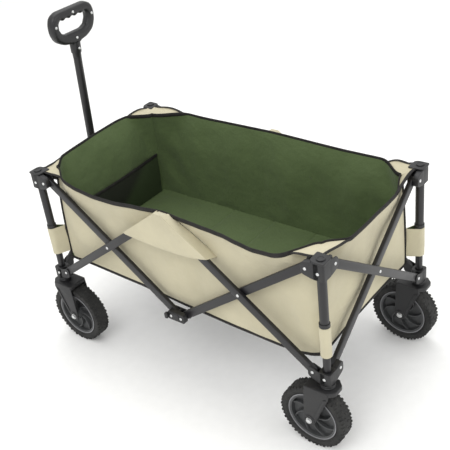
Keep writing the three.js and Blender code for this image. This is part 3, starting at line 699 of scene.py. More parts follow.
def bracket(corner, pivot, low, high, long_layer, short_layer, upper):
    """A moulded corner bracket and its rivets, drawn at the origin and put at its corner."""
    place = at_corner(corner)
    bore = 0.0113 if upper else 0.0098
    shapes = [plate([rounded(-0.016, -0.016, 0.016, 0.016, 0.005), list(reversed(arc(0, 0, bore, 0, 345, 23)))],
                    low, high, edge=0.0009, axis="Z")]
    shapes += arm(long_layer, pivot, low + 0.0005, high - 0.0005)
    shapes += [moved(shape, TWIN) for shape in arm(short_layer, pivot, low + 0.001, high - 0.001)]
    if upper:
        shapes.append(plate([softened([(-0.023, -0.023), (0.012, -0.021), (0.0175, -0.012), (0.0175, 0.0175),
                                       (-0.012, 0.0175), (-0.021, 0.012)], 0.005)], high - 0.0005, high + 0.004,
                            edge=0.0012, axis="Z"))
        shapes.append(lathe([(0, high + 0.003), (0.0105, high + 0.003), (0.0105, high + 0.0062),
                             (0.0096, high + 0.0072), (0.0072, high + 0.0072), (0.0064, high + 0.0062),
                             (0, high + 0.0066)], 36, axis="Z"))
    kind = "upper" if upper else "lower"
    piece(f"{kind}_corner_bracket_{corner}", [(moved(shape, place), "plastic") for shape in shapes],
          f"{kind}_post_{corner}", "black_plastic", [f"{kind}_bracket_{corner}"])
    at_pivot = shift(-PIVOT_INSET, FACE, pivot)
    at_post = shift(0, FACE, (low + high) / 2 - (0.004 if upper else 0.0))
    rivets(f"{kind}_bracket_rivets_{corner}", [place @ at_pivot, place @ TWIN @ at_pivot, place @ at_post],
           f"{kind}_post_{corner}")


class WAGON_OT_brackets(bpy.types.Operator):
    """Makes the moulded corner brackets and their rivets"""
    bl_idname = "wagon.brackets"
    bl_label = "Corner brackets"

    def execute(self, context):
        for corner, (ex, sy) in CORNERS.items():
            crossed = ex * sy < 0
            bracket(corner, *LOWER_BRACKET, OUTER, INNER if crossed else OUTER, False)
            bracket(corner, *UPPER_BRACKET, INNER, OUTER if crossed else INNER, True)
        return {"FINISHED"}


class WAGON_OT_hubs(bpy.types.Operator):
    """Makes the middle hubs of the long sides, with their rivets"""
    bl_idname = "wagon.hubs"
    bl_label = "Middle hubs"

    def execute(self, context):
        half = HUB_HALF + 0.012
        for side, sy in LONG_SIDES:
            place = shift(0, sy * POST_Y) @ flip(1, sy)
            for kind, layer, pivot in (("lower", INNER, LOW_Z), ("upper", OUTER, HIGH_Z)):
                shapes = jaws(rounded(-half, pivot - 0.013, half, pivot + 0.013, 0.006), layer)
                shapes.append(plate([rounded(-0.0035, pivot - 0.012, 0.0035, pivot + 0.012, 0.002)], layer - SLOT,
                                    layer + SLOT, edge=0.0005))
                raised = 0.0
                if kind == "lower":
                    raised = 0.001
                    foot = rounded(-half - 0.006, pivot - 0.009, -half + 0.005, pivot + 0.009, 0.0045)
                    shapes.append(plate([foot], FACE - 0.001, FACE + 0.009, edge=0.003, rounds=3))
                    pad = rounded(-half + 0.001, pivot - 0.0105, half - 0.018, pivot + 0.0105, 0.005)
                    shapes.append(plate([pad], FACE - 0.0005, FACE + 0.0012, edge=0.0006))
                name = f"{kind}_hub_{side}"
                piece(f"{kind}_middle_hub_{side}", [(moved(s, place), "plastic") for s in shapes], name,
                      "black_plastic", [name])
                rivets(f"{kind}_hub_rivets_{side}", [place @ shift(-HUB_HALF, FACE + raised, pivot),
                                                     place @ shift(HUB_HALF, FACE, pivot)], name)
        return {"FINISHED"}


# ---------------------------------------------------------------------------
# Wheels
# ---------------------------------------------------------------------------

def chunk(r0, r1, middle, half_turn, y0, y1, taper=0.0012):
    """A tread block between two radii and two places across the tyre, half_turn to each side of its middle."""
    a0, a1 = middle - half_turn, middle + half_turn
    rows = []
    for y, side, top in ((y0, 1, 0), (y0, 1, 1), (y1, -1, 1), (y1, -1, 0)):
        squeeze = taper * top / r1
        r = r1 if top else r0
        row = []
        for k in range(4):
            a = a0 + squeeze + (a1 - a0 - 2 * squeeze) * k / 3
            row.append(Vector((r * math.cos(a), y + side * taper * top * 0.6, r * math.sin(a))))
        rows.append(row)
    shape = skin(rows + [rows[0]])
    bmesh.ops.remove_doubles(shape, verts=shape.verts, dist=1e-6)
    for ring in (0, 3):
        ends = [v for v in shape.verts if any((v.co - row[ring]).length < 1e-6 for row in rows)]
        bmesh.ops.contextual_create(shape, geom=ends)
    return faced(shape)


def mirrored(profile):
    """A profile across the tyre or rim from its half on the +Y side, from the middle hole outward."""
    return [(r, -y) for r, y in profile] + profile[::-1]


def tyre_shape(blocks):
    """A rounded carcass, its bead rings, and two shoulders and a middle row of tread blocks."""
    radius = 0.0892
    half = [(0.0672, 0.0165), (0.0705, 0.0190), (0.0755, 0.0214), (0.0815, 0.0217), (0.0854, 0.0203),
            (0.0872, 0.0150), (0.0878, 0.0080)]
    shapes = [lathe([(r, -y) for r, y in half] + [(0.0879, 0.0)] + half[::-1], 96)]
    pitch = 2 * math.pi / blocks
    for k in range(blocks):
        wide, low, rim = (0.34, 0.0820, 0.0224) if k % 2 else (0.26, 0.0835, 0.0212)
        for side in (-1, 1):
            near, far = sorted((side * 0.0112, side * rim))
            shapes.append(chunk(low, radius - 0.0008, (k + 0.25 * side) * pitch, wide * pitch, near, far))
        near = 0.0012 if k % 2 else -0.0078
        shapes.append(chunk(0.0855, radius, k * pitch, 0.3 * pitch, near, near + 0.0066, 0.0008))
    for side in (-1, 1):
        shapes.append(lathe([(0.0722, side * 0.0205), (0.0738, side * 0.0217), (0.0752, side * 0.0214),
                             (0.0738, side * 0.0195)], 96))
    return shapes


def rim_shapes(vanes):
    """(shape, finish) pairs of a rim: barrel, web, hub, paler edges and curved vanes."""
    barrel = lathe([(0.0600, -0.0172), (0.0660, -0.0180), (0.0668, -0.0165), (0.0668, 0.0165), (0.0660, 0.0180),
                    (0.0600, 0.0172), (0.0585, 0.0080), (0.0585, -0.0080)], 96)
    web = lathe([(0.0150, -0.0045), (0.0360, -0.0022), (0.0590, -0.0060), (0.0590, 0.0060), (0.0360, 0.0022),
                 (0.0150, 0.0045)], 96)
    hub = lathe(mirrored([(0.0042, 0.0262), (0.0125, 0.0262), (0.0150, 0.0240), (0.0170, 0.0080)]), 48)
    shapes = [(barrel, "rim"), (web, "rim"), (hub, "rim")]
    for side in (-1, 1):
        lip = [(0.0645, side * 0.0174), (0.0672, side * 0.0180), (0.0674, side * 0.0189), (0.0662, side * 0.0193),
               (0.0647, side * 0.0188)]
        shapes.append((lathe(lip, 96), "rim_edge"))
    steps = 8
    for k in range(vanes):
        outer, inner = [], []
        for j in range(steps + 1):
            t = j / steps
            r = 0.0155 + 0.0445 * t
            a = 2 * math.pi * k / vanes + 0.62 * t ** 1.3
            half = 0.0016 + 0.0008 * abs(2 * t - 1)
            outer.append((r * math.cos(a + half / r), r * math.sin(a + half / r)))
            inner.append((r * math.cos(a - half / r), r * math.sin(a - half / r)))
        shapes.append((plate([inner + outer[::-1]], -0.0135, 0.0135, edge=0.0009, rounds=1), "rim"))
    return shapes


def axle_shapes():
    """The bolt's shank, its faceted head on the inner side and its round nut cap on the outer one."""
    base = 0.0327
    shapes = []
    for side, sides in ((-1, 12), (1, 24)):
        head = lathe([(0, base - 0.003), (0.0082, base - 0.003), (0.0082, base + 0.0002),
                      (0.0066, base + 0.0004), (0.0064, base + 0.0032), (0.0050, base + 0.0044),
                      (0, base + 0.0050)], sides)
        shapes.append(moved(head, flip(1, side)))
    return shapes + [lathe([(0, -0.031), (0.004, -0.031), (0.004, 0.031), (0, 0.031)], 24)]


def fork_body(corner):
    """The body that a fork rides on: the front ones swivel and the rear ones are fixed to their posts."""
    return f"caster_{corner}" if CORNERS[corner][0] < 0 else f"lower_post_{corner}"


class WAGON_OT_wheels(bpy.types.Operator):
    """Makes the four wheels with their block-tread tyres, vaned rims and axle bolts"""
    bl_idname = "wagon.wheels"
    bl_label = "Wheels"

    def execute(self, context):
        wheels = context.scene.wagon_wheels
        for corner, (ex, sy) in CORNERS.items():
            axle = shift(ex * (POST_X - TRAIL), sy * POST_Y, AXLE_Z)
            place = axle @ turn(37 * (ex + 2 * sy), "Y") @ flip(ex, sy)
            piece(f"block_tread_tyre_{corner}", [(moved(s, place), "tyre") for s in tyre_shape(wheels.blocks)],
                  f"wheel_{corner}", "tyre", [f"tyre_{corner}"], sharp=30.0)
            piece(f"vaned_rim_{corner}", [(moved(s, place), look) for s, look in rim_shapes(wheels.vanes)],
                  f"wheel_{corner}", "rim_plastic", [f"wheel_rim_{corner}"])
            spot = axle @ flip(ex, sy)
            piece(f"zinc_axle_bolt_{corner}", [(moved(s, spot), "zinc") for s in axle_shapes()], fork_body(corner),
                  "zinc_steel", [f"axle_bolt_{corner}"])
        return {"FINISHED"}


def fork_shapes():
    """A fork at the origin: its crown, two legs with their ribs and axle bosses, and the swivel's race."""
    inside, outside = 0.0270, 0.0305
    narrow = outside - 0.0010  # the crown's sides lie inside the legs
    base = FORK_TOP - 0.012
    leg = [(0.014, FORK_TOP - 0.0005), (0.016, base - 0.004), (0.010, base - 0.018)]
    leg += arc(-TRAIL, AXLE_Z, 0.016, -12, -185, 12)
    leg += [(-0.0530, base - 0.022), (-0.0500, FORK_TOP - 0.0005)]
    rib = [(0.012, base - 0.006), (0.007, base - 0.018), (-0.022, AXLE_Z + 0.006), (-0.026, AXLE_Z + 0.014),
           (0.002, base - 0.010)]
    shapes = [plate([softened([(-0.052, -narrow), (0.014, -narrow), (0.0290, -0.015), (0.0290, 0.015),
                               (0.014, narrow), (-0.052, narrow)], 0.005)], base, FORK_TOP, edge=0.0022, axis="Z")]
    for side in (-1, 1):
        shapes.append(plate([leg[::-1]], *sorted((side * inside, side * outside)), edge=0.0012))
        low = side * (outside - 0.0006)
        shapes.append(plate([softened(rib, 0.003)], *sorted((low, low + side * 0.0022)), edge=0.0009, rounds=1))
        boss = lathe([(0.0046, outside - 0.002), (0.0150, outside - 0.002), (0.0150, outside + 0.0006),
                      (0.0138, outside + 0.0018), (0.0095, outside + 0.0018), (0.0088, outside + 0.0006),
                      (0.0046, outside + 0.0006)], 40)
        shapes.append(moved(boss, shift(-TRAIL, 0, AXLE_Z), flip(1, side)))
    race = [(0.0045, -0.0010), (0.0178, -0.0010), (0.0180, 0.0030), (0.0168, 0.0042), (0.0168, 0.0060),
            (0.0180, 0.0072), (0.0176, 0.0114), (0.0045, 0.0114)]
    shapes.append(lathe([(r, FORK_TOP + z) for r, z in race], 40, axis="Z"))
    return shapes


class WAGON_OT_forks(bpy.types.Operator):
    """Makes the moulded caster forks"""
    bl_idname = "wagon.forks"
    bl_label = "Caster forks"

    def execute(self, context):
        for corner in CORNERS:
            piece(f"moulded_fork_{corner}", [(moved(s, at_corner(corner)), "plastic") for s in fork_shapes()],
                  fork_body(corner), "black_plastic", [f"caster_fork_{corner}"])
        return {"FINISHED"}


# ---------------------------------------------------------------------------
# Pull handle
# ---------------------------------------------------------------------------

HANDLE_PIVOT = shift(-0.485, 0, 0.368)
HANDLE = HANDLE_PIVOT @ turn(3, "Y")
HANDLE_TOP = 0.422  # the outer tube's length above the pivot


def grip_shapes():
    """The D-grip with four finger waves on the top of its hole, and its neck on the tube."""
    base, top, wide = HANDLE_TOP + 0.040, HANDLE_TOP + 0.142, 0.078
    half = [(0.0145, base + 0.0005), (0.0185, base + 0.004), (0.043, base + 0.009), (0.066, base + 0.023),
            (wide - 0.001, base + 0.046), (wide, base + 0.072), (wide - 0.007, top - 0.010), (wide - 0.026, top)]
    outline = [(-0.0145, base + 0.0005)] + half + [(-y, z) for y, z in half[:0:-1]]
    right = [(0.028, base + 0.034), (0.044, base + 0.041), (0.052, base + 0.056), (0.0515, base + 0.070),
             (0.047, top - 0.026)]
    waves = 4
    hole = [(-0.028, base + 0.034)] + right
    for k in range(25):
        t = k / 24
        hole.append((0.044 - 0.088 * t, top - 0.0235 - 0.0021 * (1 - math.cos(2 * math.pi * waves * t))))
    hole += [(-y, z) for y, z in right[:0:-1]]
    body = plate([softened(outline, 0.010, 5), softened(hole, 0.003, 2)[::-1]], -0.0135, 0.0135, edge=0.0098,
                 rounds=5)
    neck = [(0.0098, 0.0003), (0.0119, 0.0003), (0.0122, 0.0120), (0.0146, 0.0160), (0.0150, 0.0340),
            (0.0150, 0.0460), (0.0098, 0.0460)]
    neck = lathe([(r, HANDLE_TOP + z) for r, z in neck], 40, axis="Z")
    screws = [(0.0, top - 0.0125), (0.0655, base + 0.066), (-0.0655, base + 0.066), (0.0, base + 0.018)]
    return [moved(body, HANDLE, TWIN), moved(neck, HANDLE)], screws


class WAGON_OT_handle(bpy.types.Operator):
    """Makes the telescoping pull handle, its base and its grip"""
    bl_idname = "wagon.handle"
    bl_label = "Pull handle"

    def execute(self, context):
        back = 0.037 - (OUTER + BAR_THICK / 2 + 0.0021)
        half = 0.0149
        shapes = [moved(plate([rounded(-half, -0.016, half, 0.034, 0.005)], back - EAR, back, edge=0.0009), TWIN)]
        for side in (-1, 1):
            shapes.append(plate([rounded(-0.0115, -0.012, back - 0.001, 0.012, 0.006)],
                                *sorted((side * (half - EAR), side * half)), edge=0.0009))
        piece("handle_pivot_bracket", [(moved(s, HANDLE_PIVOT), "plastic") for s in shapes], "handle_base",
              "black_plastic", ["handle_base"])
        rivets("handle_pivot_rivets", [HANDLE_PIVOT @ flip(1, side) @ shift(0, half) for side in (-1, 1)],
               "handle_base", 0.0045)

        outer = tube_shape(0.0115, 0.0099, -0.0105, HANDLE_TOP)
        piece("handle_steel_tube", [(moved(outer, HANDLE), "steel")], "handle", "painted_steel",
              ["handle_outer_tube"])
        inner = tube_shape(0.0095, 0.0079, 0.034, HANDLE_TOP + 0.038)
        piece("handle_sliding_tube", [(moved(inner, HANDLE), "steel")], "handle_slider", "painted_steel",
              ["handle_inner_tube"])

        grip, screws = grip_shapes()
        piece("grip_moulding", [(shape, "grip") for shape in grip], "handle_slider", "grip_plastic",
              ["handle_grip"], sharp=50.0)
        heads = [(y, z, 0.0134, 0.0012) for y, z in screws] + [(0, HANDLE_TOP + 0.028, 0.0148, 0.0014)]
        parts = [(moved(rivet_head(0.0040, height), HANDLE, shift(0, y, z), turn(way, "Z"), shift(0, out)), "zinc")
                 for y, z, out, height in heads for way in (-90, 90)]
        piece("grip_screws", parts, "handle_slider", "zinc_steel")
        return {"FINISHED"}


# ---------------------------------------------------------------------------
# Bag
# ---------------------------------------------------------------------------

UP = Vector((0, 0, 1))


def smooth(t):
    """A soft step from 0 to 1."""
    t = min(1.0, max(0.0, t))
    return t * t * (3 - 2 * t)


def bag_point(side, s, v):
    """A point on the outside of one of the bag's four walls. s runs from -1 to 1 between its corner seams, and v
    from 0 at the hem to 1 at the rim."""
    outward, low_corner, high_corner = SIDES[side]
    corner = high_corner if s > 0 else low_corner
    long_side = side in ("left", "right")
    one, two = (0, 1) if long_side else (1, 0)
    off, rim_off = (BASE_Y, RIM_Y) if long_side else (BASE_X, RIM_X)
    seam_along, seam_out = SEAMS[corner][one], SEAMS[corner][two]
    t = abs(s)
    top = between(RIMS[side], s * seam_along)
    low = between(HEMS[side], s * SEAM_BASE[one])
    z = low + (top - low) * v
    flare = max(0.0, (z - FLARE_Z) / (top - FLARE_Z))
    lean = max(0.0, (z - FLOOR_Z) / (top - FLOOR_Z)) ** 2.2
    along = s * (SEAM_BASE[one] + (seam_along - SEAM_BASE[one]) * lean)
    middle = math.cos(s * math.pi / 2)
    body = math.sin(math.pi * min(1.0, v * 1.05))
    out = off + (rim_off - off) * flare ** 1.8 + 0.004 * middle * body
    if not long_side:
        out += 0.006 * middle * flare
    out -= 0.004 * max(0.0, (FLOOR_Z - z) / 0.04)
    # Near a seam the wall turns in to meet it, from where the corner's tab is sewn.
    end_out = SEAM_BASE[two] + (seam_out - SEAM_BASE[two]) * lean
    start = 0.95 + (TABS[corner][one] / seam_along * 0.93 - 0.95) * lean
    out += (end_out - out) * smooth((t - start) / (1 - start)) ** 1.25
    # Broad and small wrinkles, and pulls toward the seams, which fade at the edges and never reach the floor.
    fade = min(1.0, (1 - t) * 8) * min(1.0, v * 10) * min(1.0, (1 - v) * 6)
    wrinkle = noise.noise(Vector((along * 9, out, z * 5 + 7))) * 0.0080
    wrinkle += noise.noise(Vector((along * 24, 3.1, z * 15))) * 0.0026
    pull = 0.0050 * math.sin(along * 52 + z * 38) * math.exp(-((1 - t) * 4) ** 2) * body
    clear = min(1.0, abs(z - FLOOR_Z) / 0.05)
    out += max(-0.008 * clear, min(wrinkle + pull, 0.0050)) * fade
    if long_side:
        return Vector((along, outward.y * out, z))
    return Vector((outward.x * out, along, z))


def oriented(shape, outward):
    """Turns the shape's faces so that most of them look outward."""
    shape.normal_update()
    total = sum((face.normal * face.calc_area() for face in shape.faces), Vector())
    if total.dot(outward) < 0:
        bmesh.ops.reverse_faces(shape, faces=shape.faces)
    return shape


def edge_of(rows):
    """The closed edge of a sheet."""
    return rows[0] + [row[-1] for row in rows[1:]] + rows[-1][-2::-1] + [row[0] for row in rows[-2::-1]]


def sheet(rows, under, outward, looks):
    """(shape, finish) pairs of a thin closed sheet: its face, its back and the strip round its edge."""
    return [(oriented(skin(rows), outward), looks[0]), (oriented(skin(under), -outward), looks[1]),
            (skin([edge_of(rows), edge_of(under)]), looks[2])]


def set_back(rows, step):
    """The rows moved by a step, for a sheet's other face."""
    return [[p - step for p in row] for row in rows]


def length_of(points):
    """The length of a path through points."""
    return sum((b - a).length for a, b in zip(points, points[1:]))


def declare(rows):
    """Measures the flat size that a panel was cut to along its rows, and its area, and keeps none of it."""
    width = max(length_of(row) for row in rows)
    height = max(length_of([row[k] for row in rows]) for k in (0, len(rows[0]) // 2, -1))
    area = 0.0
    for a, b in zip(rows, rows[1:]):
        for k in range(len(a) - 1):
            area += ((a[k + 1] - a[k]).cross(b[k] - a[k])).length / 2
            area += ((b[k] - b[k + 1]).cross(a[k + 1] - b[k + 1])).length / 2
    area = max(0.31 * width * height, min(area, width * height))


def fold_up(made, side):
    """Gives a panel a mesh of its own."""
    if side in ("left", "right"):
        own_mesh(made)
    else:
        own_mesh(made)


def tape(name, path, outs, half_out, half_down, corner, side, slot="canvas"):
    """Binding or piping along a path, riding on its corner's upper post."""
    made = piece(name, [(sweep(path, outs, half_out, half_down), "tape")], f"upper_post_{corner}", slot,
                 sharp=SOFT_EDGE)
    fold_up(made, side)


class WAGON_OT_bag_walls(bpy.types.Operator):
    """Makes the bag's walls: canvas outside, green lining inside"""
    bl_idname = "wagon.bag_walls"
    bl_label = "Bag walls"

    def execute(self, context):
        gap = context.scene.wagon_fabric.sheet
        for side, way, corner, label in PANELS:
            out = SIDES[side][0]
            columns = 52 if side in ("left", "right") else 32
            rows = [[bag_point(side, way * (k / columns) ** 0.9, j / 30) for k in range(columns + 1)]
                    for j in range(31)]
            made = piece(f"bag_wall_{label}", sheet(rows, set_back(rows, out * gap), out, ("canvas", "lining", "tape")),
                         f"upper_post_{corner}", "canvas", ["bag"] if label == "left_front" else (), SOFT_EDGE)
            declare(rows)
            fold_up(made, side)
        return {"FINISHED"}


def ways_out(path, outward):
    """The level directions across a path, looking out of the bag."""
    outs = []
    for i in range(len(path)):
        across = (path[min(i + 1, len(path) - 1)] - path[max(i - 1, 0)]).cross(UP).normalized()
        outs.append(across if across.dot(outward) > 0 else -across)
    return outs


class WAGON_OT_binding(bpy.types.Operator):
    """Makes the black binding round the rim and the piping on the bag's seams"""
    bl_idname = "wagon.binding"
    bl_label = "Binding and piping"

    def execute(self, context):
        width = context.scene.wagon_fabric.tape_width
        cord = context.scene.wagon_fabric.piping
        half_thick = 0.0023
        for side, way, corner, label in PANELS:
            columns = 48 if side in ("left", "right") else 28
            out = SIDES[side][0]
            rim, hem = ([bag_point(side, way * k / columns, v) for k in range(columns + 1)] for v in (1.0, 0.0))
            rim = [p - UP * 0.0015 for p in rim]
            tape(f"rim_binding_{label}", rim, ways_out(rim, out), half_thick, width / 2, corner, side)
            tape(f"hem_piping_{label}", hem, out, half_thick, width * 0.41, corner, side)
        for corner, (ex, sy) in CORNERS.items():
            out = Vector((ex, sy, 0)).normalized()
            side = "left" if sy < 0 else "right"
            seam = [bag_point(side, ex, k / 42) + out * cord * 0.6 for k in range(41)]
            tape(f"corner_piping_{corner}", seam, out, cord, cord, corner, side)
        return {"FINISHED"}


def tab_rows(corner, side, end):
    """Rows of a corner tab, from the rim to its bracket: 9 points along the long side's rim, then 8 along the
    end's."""
    ex, sy = CORNERS[corner]
    tip = Vector((ex * POST_X, sy * POST_Y, 0.5515))
    a_end = tip - Vector((ex * 0.0235, sy * 0.005, 0))
    b_end = tip - Vector((ex * 0.005, sy * 0.0235, 0))
    first, last = (sewn / seam for sewn, seam in zip(TABS[corner], SEAMS[corner]))
    root = [bag_point(side, ex * (first + (1 - first) * k / 8), 1.0) for k in range(9)]
    root += [bag_point(end, sy * (1 - (1 - last) * k / 8), 1.0) for k in range(1, 9)]
    rows = []
    for j in range(15):
        u = j / 14
        row = []
        for k, start in enumerate(root):
            t = k / 16
            spot = start.lerp(a_end.lerp(b_end, t), u)
            edge = abs(2 * t - 1) ** 2
            bow = TAB_BOW[corner] * edge - 0.004 * (1 - edge) + 0.0012 * math.sin(9 * t + 5 * u)
            row.append(spot + UP * math.sin(math.pi * u) * bow)
        rows.append(row)
    return rows


class WAGON_OT_corner_tabs(bpy.types.Operator):
    """Makes the canvas tabs that tie the rim's cut corners to the brackets"""
    bl_idname = "wagon.corner_tabs"
    bl_label = "Corner tabs"

    def execute(self, context):
        gap = context.scene.wagon_fabric.sheet
        width = context.scene.wagon_fabric.tape_width
        for corner, (ex, sy) in CORNERS.items():
            side = "left" if sy < 0 else "right"
            end = "front" if ex < 0 else "rear"
            rows = tab_rows(corner, side, end)
            for half, columns, edge, way in (("long", slice(0, 9), 0, side), ("short", slice(8, 17), -1, end)):
                part = [row[columns] for row in rows]
                made = piece(f"corner_tab_{half}_{corner}", sheet(part, set_back(part, UP * gap), UP, ["canvas"] * 3),
                             f"upper_post_{corner}", "canvas", sharp=SOFT_EDGE)
                declare(part)
                fold_up(made, way)
                tape(f"tab_binding_{half}_{corner}", [row[edge] - UP * gap / 2 for row in rows], UP, 0.0016,
                     width * 0.36, corner, way)
        return {"FINISHED"}


def floor_rows(x0, x1, ex, sy, split, floor_x, floor_y):
    """Rows of a floor section's top, which dips at the folds, rises at the walls and waves a little."""
    columns, lines = 24, 18
    rows = []
    for j in range(lines + 1):
        y = floor_y * j / lines
        row = []
        for k in range(columns + 1):
            x = x0 + (x1 - x0) * k / columns
            crease = 0.0030 * math.exp(-((x - split) / 0.005) ** 2) + 0.0024 * math.exp(-(x / 0.005) ** 2)
            rise = 0.0035 * max(0.0, 1 - (floor_y - y) / 0.010) ** 2
            rise += 0.0035 * max(0.0, 1 - (floor_x - x) / 0.010) ** 2
            wave = noise.noise(Vector((x * 11 * ex, y * 11 * sy, 2.0))) * 0.0012
            row.append(Vector((ex * x, sy * y, FLOOR_Z - 0.0012 - crease + rise + wave)))
        rows.append(row)
    return rows


class WAGON_OT_floor(bpy.types.Operator):
    """Makes the lined floor in its folding sections"""
    bl_idname = "wagon.floor"
    bl_label = "Floor"

    def execute(self, context):
        split, floor_x, floor_y, underside = 0.145, 0.4212, 0.2052, 0.2625
        for corner, (ex, sy) in CORNERS.items():
            hub = "upper_hub_left" if sy < 0 else "upper_hub_right"
            for part, x0, x1, body in (("end", split, floor_x, f"upper_post_{corner}"), ("middle", 0.0, split, hub)):
                rows = floor_rows(x0, x1, ex, sy, split, floor_x, floor_y)
                under = [[Vector((p.x, p.y, underside)) for p in row] for row in rows]
                first = corner == "front_left" and part == "end"
                made = piece(f"floor_pad_{part}_{corner}", sheet(rows, under, UP, ("lining", "tape", "lining")), body,
                             "lining", ["floor_board"] if first else (), SOFT_EDGE)
                fold_up(made, "front")
        return {"FINISHED"}


class WAGON_OT_pocket(bpy.types.Operator):
    """Makes the net pocket inside the front wall"""
    bl_idname = "wagon.pocket"
    bl_label = "Net pocket"

    def execute(self, context):
        low, high, net = 0.278, 0.408, 0.0012
        inward = Vector((1, 0, 0))
        for way, end in ((-1, "left"), (1, "right")):
            rows = []
            for j in range(17):
                v = j / 16
                row = []
                for k in range(25):
                    s = way * 0.93 * k / 24
                    belly = 0.010 * math.sin(math.pi * min(1, v * 0.8)) * math.cos(s * 1.4)
                    z = low + (high - low) * v - 0.004 * math.cos(s * 1.5) * v
                    row.append(Vector((-BASE_X + 0.0045 + belly + 0.002 * v,
                                       bag_point("front", s, 0.10 + 0.02 * v).y, z)))
                rows.append(row)
            corner = f"front_{end}"
            made = piece(f"net_pocket_{end}", sheet(rows, set_back(rows, inward * net), inward, ["net"] * 3),
                         f"upper_post_{corner}", "lining", sharp=SOFT_EDGE)
            declare(rows)
            fold_up(made, "front")
            tape(f"net_pocket_hem_{end}", rows[-1], inward, 0.0016, 0.0055, corner, "front", "lining")
        return {"FINISHED"}


def hood_rows(sy):
    """Rows of a hood: a flat top from the rim, then its face from the ridge down to the bars, with a flap turned in
    at each side."""
    face, tuck = 0.2528, 0.2305
    lines = 22
    rows = []
    for j in range(lines + 1):
        b = j / lines
        half = 0.012 + 0.122 * b
        ridge_z = 0.549 - 0.092 * b
        row = []
        for k in range(37):
            a = -1.3 + 2.6 * k / 36
            if abs(a) <= 1:
                x = a * half
                hollow = (1 - a * a) * b
                z = ridge_z - 0.013 * hollow * b
                out = face - 0.0045 * hollow - 0.0060 * max(0.0, (a * -sy - 0.68) / 0.32) * b
                out -= 0.0020 * math.exp(-((1 - abs(a)) * 9) ** 2) * (1 - b)
            else:
                t = (abs(a) - 1) / 0.3
                x = math.copysign(half + 0.006 * t, a)
                z = ridge_z - 0.010 * t * b - 0.004 * t * (1 - b)
                start = face - (0.006 * b if a * -sy > 0 else 0)
                out = start - (start - 0.2115 - 0.0195 * (1 - b) ** 1.5) * t
            ripple = noise.noise(Vector((x * 16, b * 3, 5.0 + sy))) * 0.0016 * min(1, 3 * b)
            row.append(Vector((x, sy * (out + ripple), z)))
        rows.append(row)
    top = [[Vector((p.x, sy * (tuck + (abs(p.y) - tuck) * t), p.z - 0.006 * (1 - t))) for p in rows[0]]
           for t in (0, 0.25, 0.5, 0.75)]
    return top + rows


class WAGON_OT_hoods(bpy.types.Operator):
    """Makes the canvas hoods stretched over the middle hubs"""
    bl_idname = "wagon.hoods"
    bl_label = "Hub hoods"

    def execute(self, context):
        gap = context.scene.wagon_fabric.sheet
        for side, sy in LONG_SIDES:
            rows = hood_rows(sy)
            out = Vector((0, sy, 0.7))
            made = piece(f"canvas_hood_{side}",
                         sheet(rows, set_back(rows, out.normalized() * gap), out, ("canvas", "canvas", "tape")),
                         f"upper_hub_{side}", "canvas", [f"hub_hood_{side}"], 70.0)
            declare(rows)
            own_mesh(made)
        return {"FINISHED"}


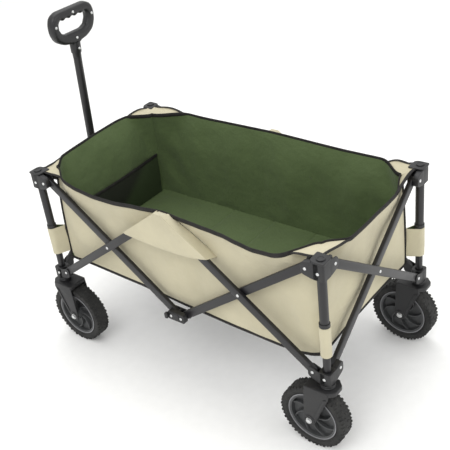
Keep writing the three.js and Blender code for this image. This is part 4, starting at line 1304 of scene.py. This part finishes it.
class WAGON_OT_sleeves(bpy.types.Operator):
    """Makes the canvas loops that hold the bag's corners to the posts"""
    bl_idname = "wagon.sleeves"
    bl_label = "Post sleeves"

    def execute(self, context):
        gap = context.scene.wagon_fabric.sheet
        low, high = 0.288, 0.372
        near, far, tail = 0.0136, 0.0030, 0.0335  # the loop's radius at the post and at its tail, and how far apart
        lean = math.degrees(math.asin((near - far) / tail))
        outline = arc(0, 0, near, -90 - lean, 90 + lean, 24)
        outline += [tuple(Vector(outline[-1]).lerp(Vector((-tail, far)), t)) for t in (0.25, 0.5, 0.75)]
        outline += arc(-tail, 0, far, 90 + lean, 270 - lean, 6)
        outline += [tuple(Vector((-tail, -far)).lerp(Vector(outline[0]), t)) for t in (0.25, 0.5, 0.75)]
        shrink = 1 - gap / near
        for index, corner in enumerate(CORNERS):
            rows = []
            for j in range(15):
                v = j / 14
                row = []
                for k, (x, y) in enumerate(outline):
                    swell = 1 + 0.05 * noise.noise(Vector((x * 60, y * 60, v * 2 + index)))
                    flat = 0.0006 * math.sin(v * math.pi * 2 + k * 0.5) if x < 0 else 0
                    row.append(Vector((x * swell + flat, y * swell, low + (high - low) * v)))
                rows.append(row)
            inner = [[Vector((p.x * shrink, p.y * shrink, p.z)) for p in row] for row in rows]
            shapes = [(skin(rows, around=True), "canvas"), (skin(inner, around=True), "lining")]
            shapes += [(skin([rows[v], inner[v]], around=True), "canvas") for v in (0, -1)]
            place = at_corner(corner) @ turn(45, "Z")
            made = piece(f"canvas_sleeve_{corner}", [(moved(faced(shape), place), look) for shape, look in shapes],
                         f"upper_post_{corner}", "canvas", [f"post_sleeve_{corner}"], SOFT_EDGE)
        return {"FINISHED"}


STEPS = (
    WAGON_OT_stage, WAGON_OT_posts, WAGON_OT_scissor_bars, WAGON_OT_brackets, WAGON_OT_hubs, WAGON_OT_wheels,
    WAGON_OT_forks, WAGON_OT_handle, WAGON_OT_bag_walls, WAGON_OT_binding, WAGON_OT_corner_tabs, WAGON_OT_floor,
    WAGON_OT_pocket, WAGON_OT_hoods, WAGON_OT_sleeves,
)
GROUPS = {"wagon_fabric": WagonFabric, "wagon_frame": WagonFrame, "wagon_wheels": WagonWheels,
          "wagon_stage": WagonStage}


class WAGON_PT_sidebar(bpy.types.Panel):
    """The wagon's settings and the steps that build it"""
    bl_idname = "WAGON_PT_sidebar"
    bl_label = "Folding camp wagon"
    bl_space_type = "VIEW_3D"
    bl_region_type = "UI"
    bl_category = "Wagon"

    def draw(self, context):
        for attribute, group in GROUPS.items():
            box = self.layout.box()
            for name in group.__annotations__:
                box.prop(getattr(context.scene, attribute), name)
        for step in STEPS:
            self.layout.operator(step.bl_idname)


def register():
    for group in GROUPS.values():
        bpy.utils.register_class(group)
    for attribute, group in GROUPS.items():
        setattr(bpy.types.Scene, attribute, PointerProperty(type=group))
    for step in STEPS:
        bpy.utils.register_class(step)
    bpy.utils.register_class(WAGON_PT_sidebar)


def unregister():
    bpy.utils.unregister_class(WAGON_PT_sidebar)
    for step in reversed(STEPS):
        bpy.utils.unregister_class(step)
    for attribute in GROUPS:
        delattr(bpy.types.Scene, attribute)
    for group in reversed(GROUPS.values()):
        bpy.utils.unregister_class(group)


def main():
    register()
    for step in STEPS:
        group, name = step.bl_idname.split(".")
        getattr(getattr(bpy.ops, group), name)()


if __name__ == "__main__":
    main()
